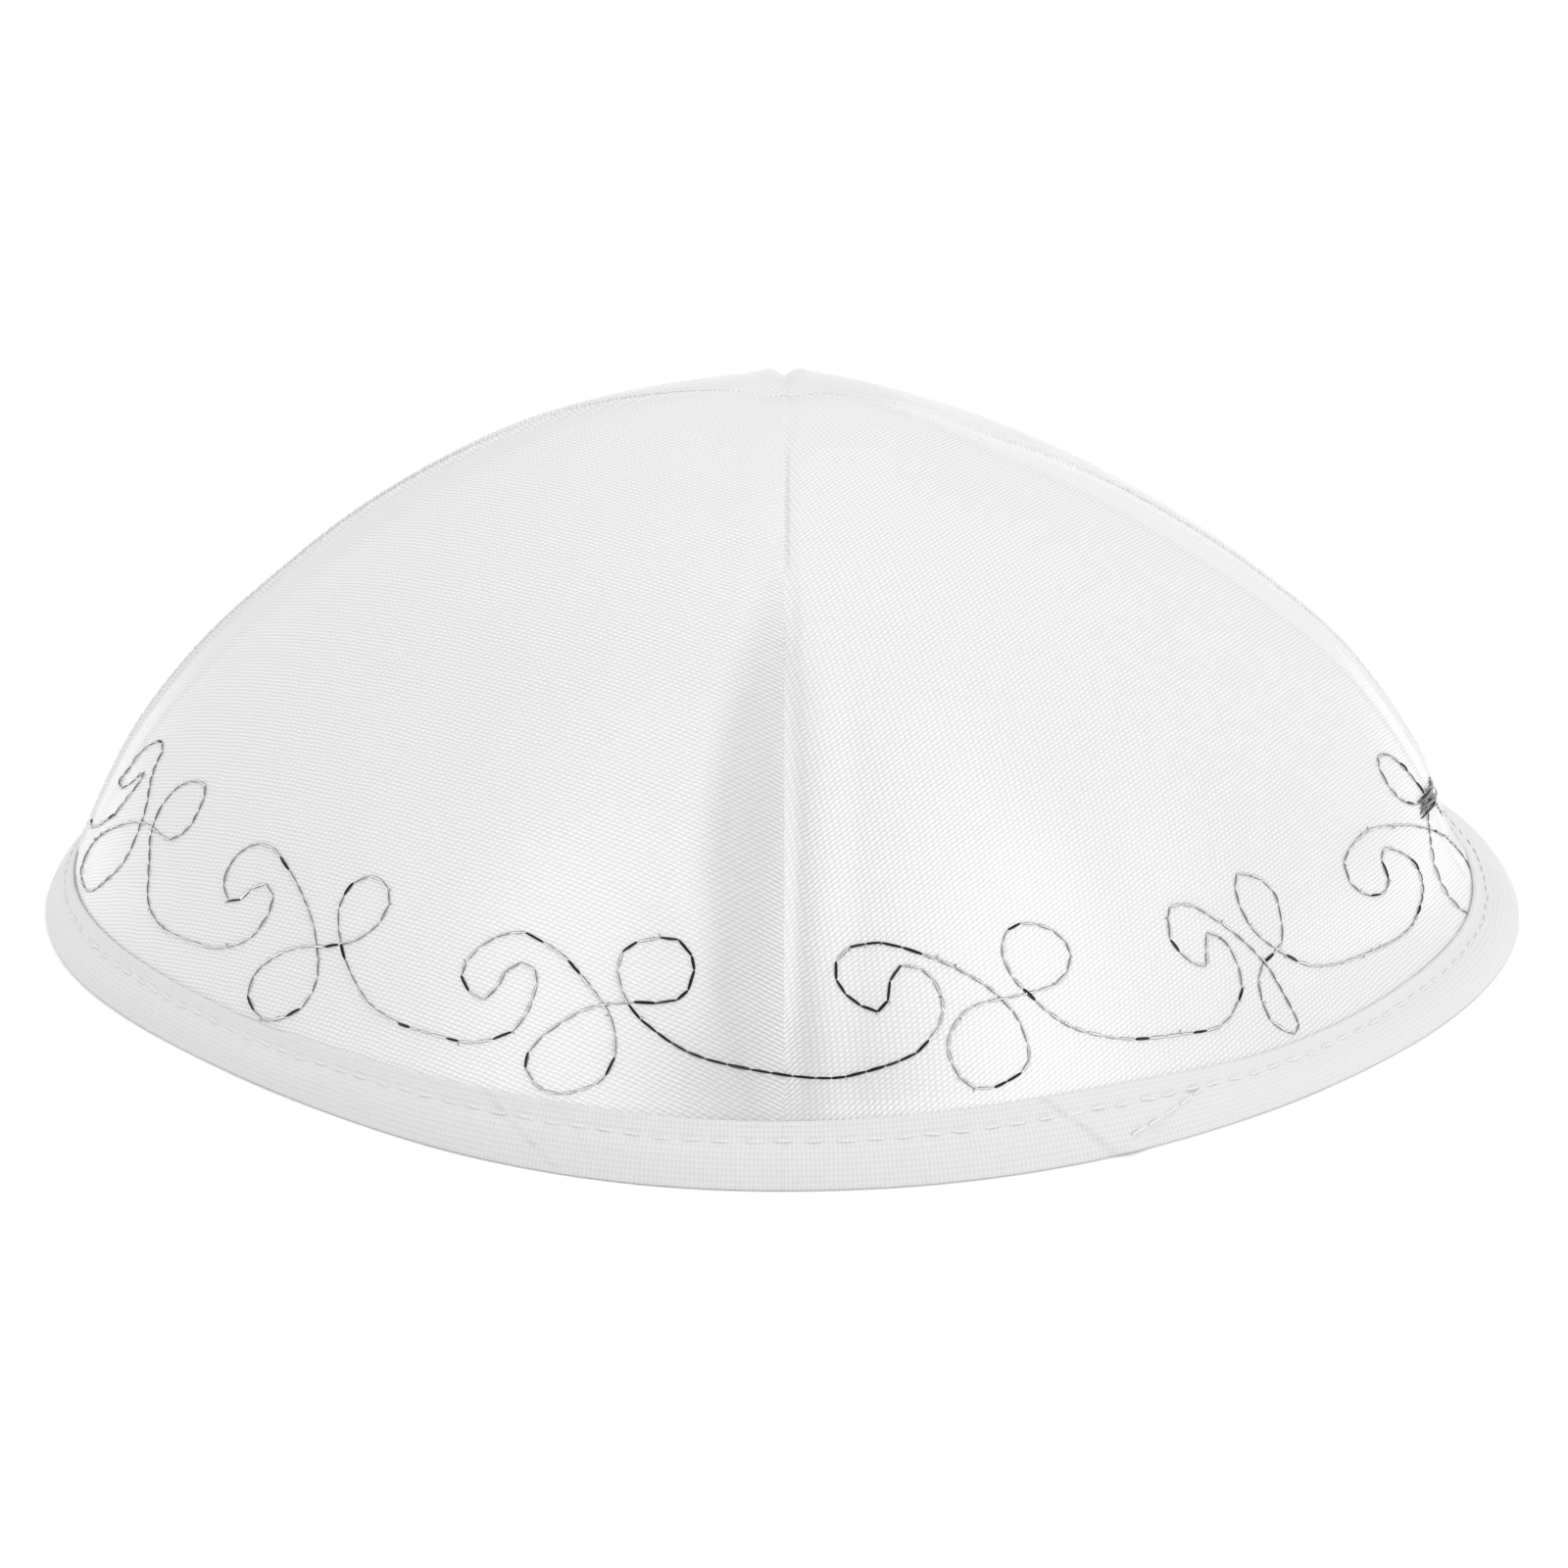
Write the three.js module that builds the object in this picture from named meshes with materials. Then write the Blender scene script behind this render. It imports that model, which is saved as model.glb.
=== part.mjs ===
// A white satin skullcap: four gores sewn to a crown, and a tape folded over the rim.
// Millimetres, +Z up. The rim rests on z = 0, the front seam faces -Y,
// and the origin is the middle of the rim.
import * as THREE from 'three';

// Driving dimensions
const BALL_DROP = 24.6;          // the crown is close to a ball, whose centre lies this far below the rim
const CLOTH_WALL = 1.2;          // satin with its backing
const TAPE_WALL = 1.0;           // one leaf of the folded tape
const CLEARANCE = 0.3;           // kept between pieces that touch
const TAPE_WIDTH = 6.7;          // seen width of the tape, half way between two seams
const TAPE_WIDTH_SWING = 1.0;    // the tape shows this much wider in front and behind than there
const TOP_SHARE = 0.006;         // the gores stop this close to the top, where their points meet
const TOP_DIMPLE = 0.8;          // the seams pull the very top in by this much
const TOP_DIMPLE_ANGLE = 0.045;  // radians from the top, the dimple's reach
const LEFT_DIP = 1.22;           // the left gores are flatter between their seams
const RIGHT_DIP = 0.72;          // and the right ones rounder

// Mesh steps
const PANEL_COLUMNS = 16;
const CROWN_LEVELS = 20;         // from the top down to the tape, with one more level inside the tape
const TAPE_STEPS = 4 * PANEL_COLUMNS;

// The crown's outer face, a row for each level.
// share: how far down from the top to the rim, from 0 to 1
// left, right, front, back: distance of that seam from the ball's centre
// dip: how much nearer the middle of a gore lies, as a share of that distance
// corner: 2 makes the seams soft corners, and 1 makes them sharp ones
const CROWN_ROWS = [
  { share: 0.00, left: 84.2, right: 84.2, front: 84.2, back: 84.2, dip: 0.000, corner: 1.2 },
  { share: 0.12, left: 84.7, right: 83.3, front: 83.7, back: 83.7, dip: 0.004, corner: 1.2 },
  { share: 0.25, left: 84.9, right: 81.6, front: 83.3, back: 83.3, dip: 0.012, corner: 1.2 },
  { share: 0.40, left: 84.6, right: 81.6, front: 83.3, back: 83.3, dip: 0.022, corner: 1.2 },
  { share: 0.55, left: 84.5, right: 82.2, front: 83.3, back: 83.3, dip: 0.030, corner: 1.3 },
  { share: 0.70, left: 85.5, right: 83.4, front: 84.0, back: 84.0, dip: 0.036, corner: 1.4 },
  { share: 0.82, left: 86.2, right: 83.5, front: 84.6, back: 84.6, dip: 0.040, corner: 1.6 },
  { share: 0.91, left: 86.3, right: 82.8, front: 85.3, back: 85.3, dip: 0.042, corner: 2.0 },
  { share: 0.96, left: 86.7, right: 84.0, front: 86.2, back: 86.2, dip: 0.042, corner: 2.2 },
  { share: 1.00, left: 87.5, right: 87.1, front: 87.3, back: 87.3, dip: 0.042, corner: 2.4 },
];

const SATIN = { color: 0xf2f2f2, roughness: 0.38, metalness: 0 };
const TAPE_CLOTH = { color: 0xe9e9e9, roughness: 0.85, metalness: 0 };

// A smooth value of one column at a level, through the table's rows without overshoot.
function columnSlope(column, index) {
  if (index === 0 || index === CROWN_ROWS.length - 1) {
    return 0;
  }
  const [before, here, after] = [CROWN_ROWS[index - 1], CROWN_ROWS[index], CROWN_ROWS[index + 1]];
  const slopeBefore = (here[column] - before[column]) / (here.share - before.share);
  const slopeAfter = (after[column] - here[column]) / (after.share - here.share);
  if (slopeBefore * slopeAfter <= 0) {
    return 0;
  }
  return 2 * slopeBefore * slopeAfter / (slopeBefore + slopeAfter);
}

function columnAt(column, share) {
  const last = CROWN_ROWS.length - 2;
  const found = CROWN_ROWS.findIndex((row) => row.share > share) - 1;
  const index = found < 0 ? last : found;
  const [low, high] = [CROWN_ROWS[index], CROWN_ROWS[index + 1]];
  const span = high.share - low.share;
  const part = (share - low.share) / span;
  const rise = part * part * (3 - 2 * part);
  const startBend = part * (1 - part) * (1 - part) * span * columnSlope(column, index);
  const endBend = part * part * (part - 1) * span * columnSlope(column, index + 1);
  return low[column] + (high[column] - low[column]) * rise + startBend + endBend;
}

// Distance of the crown's outer face from the ball's centre.
// The turn is measured round the cap from the front seam, and grows towards the right.
function crownDistance(turn, share) {
  const [sideways, forwards] = [Math.sin(turn), Math.cos(turn)];
  const side = columnAt(sideways > 0 ? 'right' : 'left', share);
  const end = columnAt(forwards > 0 ? 'front' : 'back', share);
  const atSeams = side * sideways ** 2 + end * forwards ** 2;
  const between = Math.abs(Math.sin(2 * turn)) ** columnAt('corner', share);
  const dip = columnAt('dip', share) * (sideways > 0 ? RIGHT_DIP : LEFT_DIP);
  return atSeams * (1 - dip * between);
}

function rimAngle(turn) {
  return Math.acos(BALL_DROP / crownDistance(turn, 1));
}

// A point of the crown, moved outwards by an offset.
function crownPoint(turn, share, offset) {
  const angle = share * rimAngle(turn);
  const dimple = TOP_DIMPLE * Math.exp(-((angle / TOP_DIMPLE_ANGLE) ** 2));
  const distance = crownDistance(turn, share) - dimple + offset;
  const across = distance * Math.sin(angle);
  return [across * Math.sin(turn), -across * Math.cos(turn), distance * Math.cos(angle) - BALL_DROP];
}

// The same face carried on down to a level near the table.
function levelPoint(turn, height, offset) {
  const across = Math.sqrt((crownDistance(turn, 1) + offset) ** 2 - (BALL_DROP + height) ** 2);
  return [across * Math.sin(turn), -across * Math.cos(turn), height];
}

function meshOf(name, points, faces, look) {
  const geometry = new THREE.BufferGeometry();
  geometry.setAttribute('position', new THREE.Float32BufferAttribute(points.flat(), 3));
  geometry.setIndex(faces.flat());
  geometry.computeVertexNormals();
  const mesh = new THREE.Mesh(geometry, new THREE.MeshStandardMaterial(look));
  mesh.name = name;
  return mesh;
}

// Two triangles for the four corners, which go round anticlockwise as seen from outside.
function quad(a, b, c, d) {
  return [[a, b, c], [a, c, d]];
}

// How far down the crown the tape's upper edge lies at a turn.
function tapeTopShare(turn) {
  const width = TAPE_WIDTH + TAPE_WIDTH_SWING * Math.cos(2 * turn);
  return 1 - width / (crownDistance(turn, 1) * rimAngle(turn));
}

function tapeMiddleShare(turn) {
  return (tapeTopShare(turn) + 1) / 2;
}

// The levels of a gore at a turn. Its cut edge lies half way down inside the tape.
function levelShares(turn) {
  const top = tapeTopShare(turn);
  const shares = [];
  for (let level = 0; level <= CROWN_LEVELS; level += 1) {
    shares.push(TOP_SHARE + (top - TOP_SHARE) * level / CROWN_LEVELS);
  }
  return [...shares, tapeMiddleShare(turn)];
}

// The turn that keeps a gore's edge half the clearance away from its seam.
function besideSeam(seamTurn, level, offset, direction) {
  const [x, y] = crownPoint(seamTurn, levelShares(seamTurn)[level], offset);
  return seamTurn + direction * Math.asin(CLEARANCE / 2 / Math.hypot(x, y));
}

// One gore, from its seam at the first turn to its seam a quarter turn on.
function panel(name, firstTurn) {
  const points = [];
  const lastLevel = CROWN_LEVELS + 1;
  for (const offset of [0, -CLOTH_WALL]) {
    for (let level = 0; level <= lastLevel; level += 1) {
      const start = besideSeam(firstTurn, level, offset, 1);
      const end = besideSeam(firstTurn + Math.PI / 2, level, offset, -1);
      for (let column = 0; column <= PANEL_COLUMNS; column += 1) {
        const turn = start + (end - start) * column / PANEL_COLUMNS;
        points.push(crownPoint(turn, levelShares(turn)[level], offset));
      }
    }
  }
  const across = PANEL_COLUMNS + 1;
  const layerSize = across * (lastLevel + 1);
  const outer = (row, column) => row * across + column;
  const inner = (row, column) => layerSize + outer(row, column);
  const faces = [];
  for (let row = 0; row < lastLevel; row += 1) {
    for (let column = 0; column < PANEL_COLUMNS; column += 1) {
      const [down, right] = [row + 1, column + 1];
      faces.push(...quad(outer(row, column), outer(down, column), outer(down, right), outer(row, right)));
      faces.push(...quad(inner(row, column), inner(row, right), inner(down, right), inner(down, column)));
    }
    const down = row + 1;
    faces.push(...quad(outer(row, 0), inner(row, 0), inner(down, 0), outer(down, 0)));
    const edge = PANEL_COLUMNS;
    faces.push(...quad(outer(row, edge), outer(down, edge), inner(down, edge), inner(row, edge)));
  }
  for (let column = 0; column < PANEL_COLUMNS; column += 1) {
    const right = column + 1;
    faces.push(...quad(outer(0, column), outer(0, right), inner(0, right), inner(0, column)));
    faces.push(...quad(
      outer(lastLevel, column),
      inner(lastLevel, column),
      inner(lastLevel, right),
      outer(lastLevel, right),
    ));
  }
  return meshOf(name, points, faces, SATIN);
}

// The tape's section at a turn: up the outside, over the outer leaf's edge, down to the fold,
// and the same for the inner leaf.
function tapeSection(turn) {
  const top = tapeTopShare(turn);
  const middle = tapeMiddleShare(turn);
  const leafOut = CLEARANCE + TAPE_WALL;
  const leafIn = CLEARANCE;
  const liningOut = -CLOTH_WALL - CLEARANCE;
  const liningIn = liningOut - TAPE_WALL;
  return [
    levelPoint(turn, 0, leafOut),
    crownPoint(turn, middle, leafOut),
    crownPoint(turn, top, leafOut),
    crownPoint(turn, top, leafIn),
    crownPoint(turn, middle, leafIn),
    levelPoint(turn, TAPE_WALL, leafIn),
    levelPoint(turn, TAPE_WALL, liningOut),
    crownPoint(turn, middle, liningOut),
    crownPoint(turn, top, liningOut),
    crownPoint(turn, top, liningIn),
    crownPoint(turn, middle, liningIn),
    levelPoint(turn, 0, liningIn),
  ];
}

function binding(name) {
  const points = [];
  for (let step = 0; step < TAPE_STEPS; step += 1) {
    points.push(...tapeSection(step * 2 * Math.PI / TAPE_STEPS));
  }
  const around = points.length / TAPE_STEPS;
  const faces = [];
  for (let step = 0; step < TAPE_STEPS; step += 1) {
    const next = (step + 1) % TAPE_STEPS;
    for (let corner = 0; corner < around; corner += 1) {
      const after = (corner + 1) % around;
      const [here, there] = [step * around, next * around];
      faces.push(...quad(here + corner, there + corner, there + after, here + after));
    }
  }
  return meshOf(name, points, faces, TAPE_CLOTH);
}

const QUARTER = Math.PI / 2;
const cap = new THREE.Group();
cap.add(panel('crown_panel_front_right', 0));
cap.add(panel('crown_panel_back_right', QUARTER));
cap.add(panel('crown_panel_back_left', 2 * QUARTER));
cap.add(panel('crown_panel_front_left', 3 * QUARTER));
cap.add(binding('rim_binding'));

export default cap;
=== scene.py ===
# %% [markdown]
# # A white satin skullcap with a border of silver thread
# The cap is sewn from four gores. A gore is one leaf-shaped quarter of the crown.
# A folded tape closes the raw edges round the rim, and one silver thread is stitched round the cap.
# The imported solids come in first. They fix every size, and each soft piece below stands for one of them.

# %% Load the imported solids and bake their placement into their shapes
import math

import bpy
import numpy as np
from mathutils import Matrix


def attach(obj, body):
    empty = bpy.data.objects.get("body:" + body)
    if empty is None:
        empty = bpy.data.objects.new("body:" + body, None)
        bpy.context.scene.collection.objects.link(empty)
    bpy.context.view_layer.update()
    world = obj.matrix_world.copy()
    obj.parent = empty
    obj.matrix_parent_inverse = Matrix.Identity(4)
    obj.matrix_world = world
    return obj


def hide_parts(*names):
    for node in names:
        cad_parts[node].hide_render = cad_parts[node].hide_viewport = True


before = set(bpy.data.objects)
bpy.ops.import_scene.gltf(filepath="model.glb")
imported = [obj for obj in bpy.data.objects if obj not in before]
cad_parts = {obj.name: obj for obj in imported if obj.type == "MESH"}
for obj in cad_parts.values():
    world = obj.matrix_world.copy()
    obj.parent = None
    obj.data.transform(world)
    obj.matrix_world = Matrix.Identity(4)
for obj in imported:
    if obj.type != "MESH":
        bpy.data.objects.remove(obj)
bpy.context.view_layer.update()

print("nodes of the solids:", sorted(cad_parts))

# %% [markdown]
# ## The camera
# The picture was taken from in front and a little above, from about half a metre away.
# A pinhole fitted to the cap's outline gives the distance, the tilt and the lens.
# The cap sits below the middle of the picture, so the lens is shifted up a little instead of turned.

# %% Place the camera
CAMERA_DISTANCE = 0.561
CAMERA_TILT = math.radians(21.1)
FOCAL_PIXELS = 4924
PICTURE_PIXELS = 1600
SENSOR_MM = 36
RIM_BELOW_MIDDLE_PIXELS = 104

camera_data = bpy.data.cameras.new("camera")
camera = bpy.data.objects.new("camera", camera_data)
bpy.context.scene.collection.objects.link(camera)
camera_data.sensor_width = SENSOR_MM
camera_data.lens = FOCAL_PIXELS * SENSOR_MM / PICTURE_PIXELS
camera_data.shift_y = RIM_BELOW_MIDDLE_PIXELS / PICTURE_PIXELS
camera.location = (0, -CAMERA_DISTANCE * math.cos(CAMERA_TILT), CAMERA_DISTANCE * math.sin(CAMERA_TILT))
camera.rotation_euler = (math.pi / 2 - CAMERA_TILT, 0, 0)
bpy.context.scene.camera = camera
print("lens, mm:", round(camera_data.lens, 1), "camera height, m:", round(camera.location.z, 3))

# %% [markdown]
# ## The shape of the crown
# The crown is nearly a ball that the rim cuts off. Pulled cloth is flatter between two seams
# and stands out along them, so a short table says how far each seam lies from the ball's centre.
# It is the table of the solids. Everything on the cap is placed by three numbers on this shape:
# its turn round the cap, its share of the way from the top to the rim, and its height above the cloth.

# %% The crown's table, in millimetres
MM = 0.001
BALL_DROP = 24.6          # the ball's centre lies this far below the rim
CROWN_RADIUS = 84.0       # about how far the cloth lies from the ball's centre
CROWN_ANGLE = 1.286       # about how far the rim lies from the top as seen from there, radians
CLOTH_WALL = 1.2          # satin with its backing
TOP_DIMPLE = 0.8          # the seams pull the very top in by this much
TOP_DIMPLE_ANGLE = 0.045  # the dimple's reach, radians
LEFT_DIP = 1.22           # the left gores are flatter between their seams
RIGHT_DIP = 0.72          # and the right ones rounder
COLUMNS = ("share", "left", "right", "front", "back", "dip", "corner")
CROWN_ROWS = np.array([
    (0.00, 84.2, 84.2, 84.2, 84.2, 0.000, 1.2),
    (0.12, 84.7, 83.3, 83.7, 83.7, 0.004, 1.2),
    (0.25, 84.9, 81.6, 83.3, 83.3, 0.012, 1.2),
    (0.40, 84.6, 81.6, 83.3, 83.3, 0.022, 1.2),
    (0.55, 84.5, 82.2, 83.3, 83.3, 0.030, 1.3),
    (0.70, 85.5, 83.4, 84.0, 84.0, 0.036, 1.4),
    (0.82, 86.2, 83.5, 84.6, 84.6, 0.040, 1.6),
    (0.91, 86.3, 82.8, 85.3, 85.3, 0.042, 2.0),
    (0.96, 86.7, 84.0, 86.2, 86.2, 0.042, 2.2),
    (1.00, 87.5, 87.1, 87.3, 87.3, 0.042, 2.4),
])


def crown_column(name, share):
    """A smooth value of one column at each share, without overshoot."""
    at, value = CROWN_ROWS[:, 0], CROWN_ROWS[:, COLUMNS.index(name)]
    steps = np.diff(value) / np.diff(at)
    product = steps[:-1] * steps[1:]
    slopes = np.zeros(len(at))
    both = np.where(product > 0, steps[:-1] + steps[1:], 1)
    slopes[1:-1] = np.where(product > 0, 2 * product / both, 0)
    low = np.clip(np.searchsorted(at, share, side="right") - 1, 0, len(at) - 2)
    span = at[low + 1] - at[low]
    part = (share - at[low]) / span
    rise = (value[low + 1] - value[low]) * part**2 * (3 - 2 * part)
    bend = part * (1 - part) ** 2 * slopes[low] + part**2 * (part - 1) * slopes[low + 1]
    return value[low] + rise + bend * span


def crown_distance(turn, share):
    """How far the crown lies from the ball's centre. The turn starts at the front seam and grows to the right."""
    sideways, forwards = np.sin(turn), np.cos(turn)
    side = np.where(sideways > 0, crown_column("right", share), crown_column("left", share))
    end = np.where(forwards > 0, crown_column("front", share), crown_column("back", share))
    dip = crown_column("dip", share) * np.where(sideways > 0, RIGHT_DIP, LEFT_DIP)
    between = np.abs(np.sin(2 * turn)) ** crown_column("corner", share)
    return (side * sideways**2 + end * forwards**2) * (1 - dip * between)


def rim_angle(turn):
    return np.arccos(BALL_DROP / crown_distance(turn, np.ones_like(turn)))


def crown_point(turn, share, height):
    """Points at a height above the crown's face, in millimetres."""
    turn, share, height = np.broadcast_arrays(*(np.asarray(x, float) for x in (turn, share, height)))
    angle = share * rim_angle(turn)
    dimple = TOP_DIMPLE * np.exp(-((angle / TOP_DIMPLE_ANGLE) ** 2))
    distance = crown_distance(turn, share) - dimple + height
    across = distance * np.sin(angle)
    return np.stack([across * np.sin(turn), -across * np.cos(turn), distance * np.cos(angle) - BALL_DROP], -1)


def share_above_rim(turn, rise):
    """The share of a point that lies a rise, in millimetres along the cloth, above the rim."""
    return 1 - rise / (crown_distance(turn, np.ones_like(turn)) * rim_angle(turn))


print("height of the crown, mm:", round(float(crown_point(0.0, 0.02, 0.0)[2]), 1))

# %% [markdown]
# ## The seams
# Two gores are sewn with their faces together and then opened out. The stitching pulls a groove,
# the cloth rolls into it on both sides, and the turned-in allowance behind presses a faint strip.
# Each side of a seam has its own row below, because no two seams of a sewn cap are alike.
# The front seam was pulled so tight that its left side lies as a flat facet, dipping to the seam,
# and its right side rolls over the stitching, so it has a table of its own.
# The rows become a small height above the crown, so that cloth and thread both follow it.

# %% The relief on each side of the three plain seams
# groove, groove_wide: the pulled-in line. lip, lip_at, lip_wide: the roll beside it.
# strip: how high the pressed allowance stands. pucker: the ripples that the stitches pull.
SEAM_COLUMNS = ("groove", "groove_wide", "lip", "lip_at", "lip_wide", "strip", "pucker")
SEAM_ROWS = {
    ("right", "front"): (0.75, 0.26, 0.34, 0.80, 0.36, 0.20, 0.13),
    ("right", "back"): (0.75, 0.32, 0.38, 0.95, 0.45, 0.20, 0.13),
    ("back", "right"): (0.90, 0.70, 0.20, 2.00, 0.90, 0.15, 0.05),
    ("back", "left"): (0.90, 0.70, 0.20, 2.00, 0.90, 0.15, 0.05),
    ("left", "back"): (0.75, 0.32, 0.38, 0.95, 0.45, 0.20, 0.13),
    ("left", "front"): (0.75, 0.26, 0.34, 0.80, 0.36, 0.16, 0.13),
}
SEAM_TURNS = {"front": 0.0, "right": 0.5 * math.pi, "back": math.pi, "left": 1.5 * math.pi}
LATER_SIDE = {"right": "back", "back": "left", "left": "front"}
SEAM_GROWS = (4, 26)      # the rolls grow to their full height this far from the top, mm
PUCKER_PITCH = 1.3
PUCKER_REACH = 1.1
# beyond its roll the cloth dips again: by this share of the roll, this far from its crest, this wide
HOLLOW_SHARE, HOLLOW_BEYOND, HOLLOW_WIDE = 0.45, 0.8, 0.28


def bump(x, middle, wide):
    return np.exp(-(((x - middle) / wide) ** 2))


def soft_step(x, low, high):
    part = np.clip((x - low) / (high - low), 0, 1)
    return part**2 * (3 - 2 * part)


WAVES = [(1.0, 1.0, 0.0), (0.6, 1.37, 1.9), (0.5, 0.61, 4.1)]      # size, rate, start


def ripple(along, pitch, shift):
    """A wave that isn't quite even, made of three that don't share a pitch. It stays between -1 and 1."""
    waves = [size * np.sin(2 * math.pi * rate * along / pitch + start + shift) for size, rate, start in WAVES]
    return sum(waves) / sum(size for size, _, _ in WAVES)


def signed_turn(turn):
    """The same turn, given from half a turn back to half a turn on."""
    return np.mod(turn + math.pi, 2 * math.pi) - math.pi


def ring_radius(turn, share):
    return CROWN_RADIUS * np.sin(share * rim_angle(turn))


def beside_seam(turn, share, seam):
    """Millimetres from a seam: below 0 on the side of lower turns, above 0 on the other."""
    away = signed_turn(turn - SEAM_TURNS[seam])
    return away * ring_radius(turn, share), np.abs(away) < math.pi / 4


# %% The seam allowance behind the cloth, and the painted shade beside the seams
ALLOWANCE = 8.3           # how wide it was cut, mm
STRIP_SOFT = 0.6          # how softly its edge is pressed into the cloth, mm
SHOWS_SOFT = 1.3          # and how softly it shows through
# how well it shows through, and on which side of the seam, where the cloth turns under, its colour gets painted
# shade
SHOWS_THROUGH_AND_SHADE_SIDE = {"right": (1.0, 1), "back": (0.6, 0), "left": (0.45, -1)}
# the painted shade: how much the colour is darkened on the seam's far side
SEAM_PAINTED_SHADE = 0.40         # how dark that shade is
PAINTED_SHADE_AT, PAINTED_SHADE_WIDE = 0.45, 0.40


def allowance_width(share):
    """The allowance is trimmed narrower towards the top, where four of them meet."""
    return ALLOWANCE * soft_step(share, -0.12, 0.50)


def allowance_and_seam_shade_at(turn, share):
    """How much of the allowance shows through the cloth, from 0 to 1, and below 0 where painted shade darkens the
    cloth beside a seam.
    """
    edge = allowance_width(share)
    shown = np.zeros(np.broadcast(turn, share).shape)
    for seam, (strength, painted_shade_side) in SHOWS_THROUGH_AND_SHADE_SIDE.items():
        aside, near = beside_seam(turn, share, seam)
        inside = 1 - soft_step(np.abs(aside), edge - SHOWS_SOFT, edge + SHOWS_SOFT)
        covered = strength * inside * soft_step(share, 0.0, 0.15)
        shade = (covered + SEAM_PAINTED_SHADE) * bump(aside * painted_shade_side, PAINTED_SHADE_AT, PAINTED_SHADE_WIDE)
        shade = shade * soft_step(share, 0.12, 0.40)
        shown = shown + np.where(near, covered - abs(painted_shade_side) * shade, 0)
    return shown


# %% The height of the cloth beside the side seams and the back seam
def seam_relief(turn, share):
    along = CROWN_RADIUS * share * rim_angle(turn)
    grown = soft_step(along, *SEAM_GROWS)
    edge = allowance_width(share)
    height = np.zeros(np.broadcast(turn, share).shape)
    for (seam, side), row in SEAM_ROWS.items():
        v = dict(zip(SEAM_COLUMNS, row))
        aside, near = beside_seam(turn, share, seam)
        s = np.abs(aside)
        later = LATER_SIDE[seam] == side
        shift = 7.0 * SEAM_TURNS[seam] + (3.0 if later else 0.0)      # no two sides ripple alike
        beside = v["lip"] * grown * bump(s, v["lip_at"], v["lip_wide"])
        beside += v["strip"] * grown * (1 - soft_step(s, edge - STRIP_SOFT, edge + STRIP_SOFT))
        beside += v["pucker"] * grown * ripple(along, PUCKER_PITCH, shift) * np.exp(-((s / PUCKER_REACH) ** 2))
        beside -= HOLLOW_SHARE * v["lip"] * grown * bump(s, v["lip_at"] + HOLLOW_BEYOND, HOLLOW_WIDE)
        beside -= v["groove"] * (0.4 + 0.6 * grown) * bump(s, 0, v["groove_wide"])
        height = height + np.where(near & ((aside >= 0) == later), beside, 0)
    return height


# %% The fold along the front seam
# how far down the crown, how wide the flat facet left of the seam is (mm), how steeply it dips to the
# seam, and how far right of the seam the small roll has its crest (mm)
FOLD_ROWS = np.array([
    (0.00, 0.6, 0.02, 0.30),
    (0.10, 0.8, 0.03, 0.30),
    (0.30, 1.0, 0.04, 0.35),
    (0.37, 1.2, 0.06, 0.55),
    (0.42, 2.1, 0.075, 0.80),
    (0.50, 4.1, 0.08, 0.95),
    (0.58, 5.4, 0.085, 1.00),
    (0.66, 6.4, 0.09, 1.10),
    (0.71, 6.4, 0.095, 1.10),
    (0.77, 5.7, 0.10, 1.10),
    (0.82, 5.6, 0.10, 1.00),
    (0.87, 4.6, 0.08, 0.80),
    (0.92, 3.0, 0.06, 0.55),
    (1.00, 2.0, 0.05, 0.40),
])
FOLD_SOFT = 0.45          # how softly the facet's left border bends, mm
ROLL_SOFT = 0.16          # and the roll's crest
RIDGE = 0.18              # the cloth stands this proud left of the facet, mm
ROLL_DROP = 0.13          # the roll's crest lies this far below the cloth right of it
SINK = 0.30               # further right the cloth sinks a little
UPPER_CREASE = 0.30       # above the roll the fold is only a crease, this deep
STITCH_RIPPLE, STITCH_RIPPLE_PITCH = 0.03, 2.4


def softened(x, soft):
    """x where it is above 0 and 0 below, with the corner rounded."""
    return soft * np.logaddexp(0, x / soft)


def front_fold(turn, share):
    aside, near = beside_seam(turn, share, "front")
    wide, lean, roll = (np.interp(share, FOLD_ROWS[:, 0], column) for column in FOLD_ROWS.T[1:])
    s = np.abs(aside)
    facet = -lean * softened(wide - s, FOLD_SOFT)
    facet += RIDGE * soft_step(share, 0.05, 0.3) * bump(s, wide + 2.2, 2.4) * (1 - soft_step(share, 0.80, 0.9))
    low = lean * softened(wide, FOLD_SOFT) - ROLL_DROP
    flank = -low * softened(roll - s, ROLL_SOFT) / softened(roll, ROLL_SOFT)
    rising = ROLL_DROP * soft_step(s, 0.9 * roll, roll + 1.25) - ROLL_DROP
    sunk = -SINK * soft_step(s, roll + 1.5, 8.0) * (1 - soft_step(s, 9.0, 26.0)) * soft_step(share, 0.3, 0.5)
    high_up = (1 - soft_step(share, 0.32, 0.40)) * soft_step(share, 0.08, 0.24)
    crease = -UPPER_CREASE * bump(s, 0.3, 0.26) * high_up
    stitched = STITCH_RIPPLE * ripple(CROWN_RADIUS * share * CROWN_ANGLE, STITCH_RIPPLE_PITCH, 1.0)
    stitched = stitched * np.exp(-((s / 0.8) ** 2))
    return np.where(near, np.where(aside < 0, facet, flank + rising + sunk + crease) + stitched, 0)


# %% The soft dents of the cloth
# turn, share: the middle. around, down: its reach in millimetres. height: out of the crown, or into it.
DENT_ROWS = [
    {"turn": 0.58, "share": 0.74, "around": 7.0, "down": 20.0, "height": -0.30},
    {"turn": 0.80, "share": 0.66, "around": 8.0, "down": 16.0, "height": 0.30},
    {"turn": -0.62, "share": 0.70, "around": 9.0, "down": 22.0, "height": -0.25},
]


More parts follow.
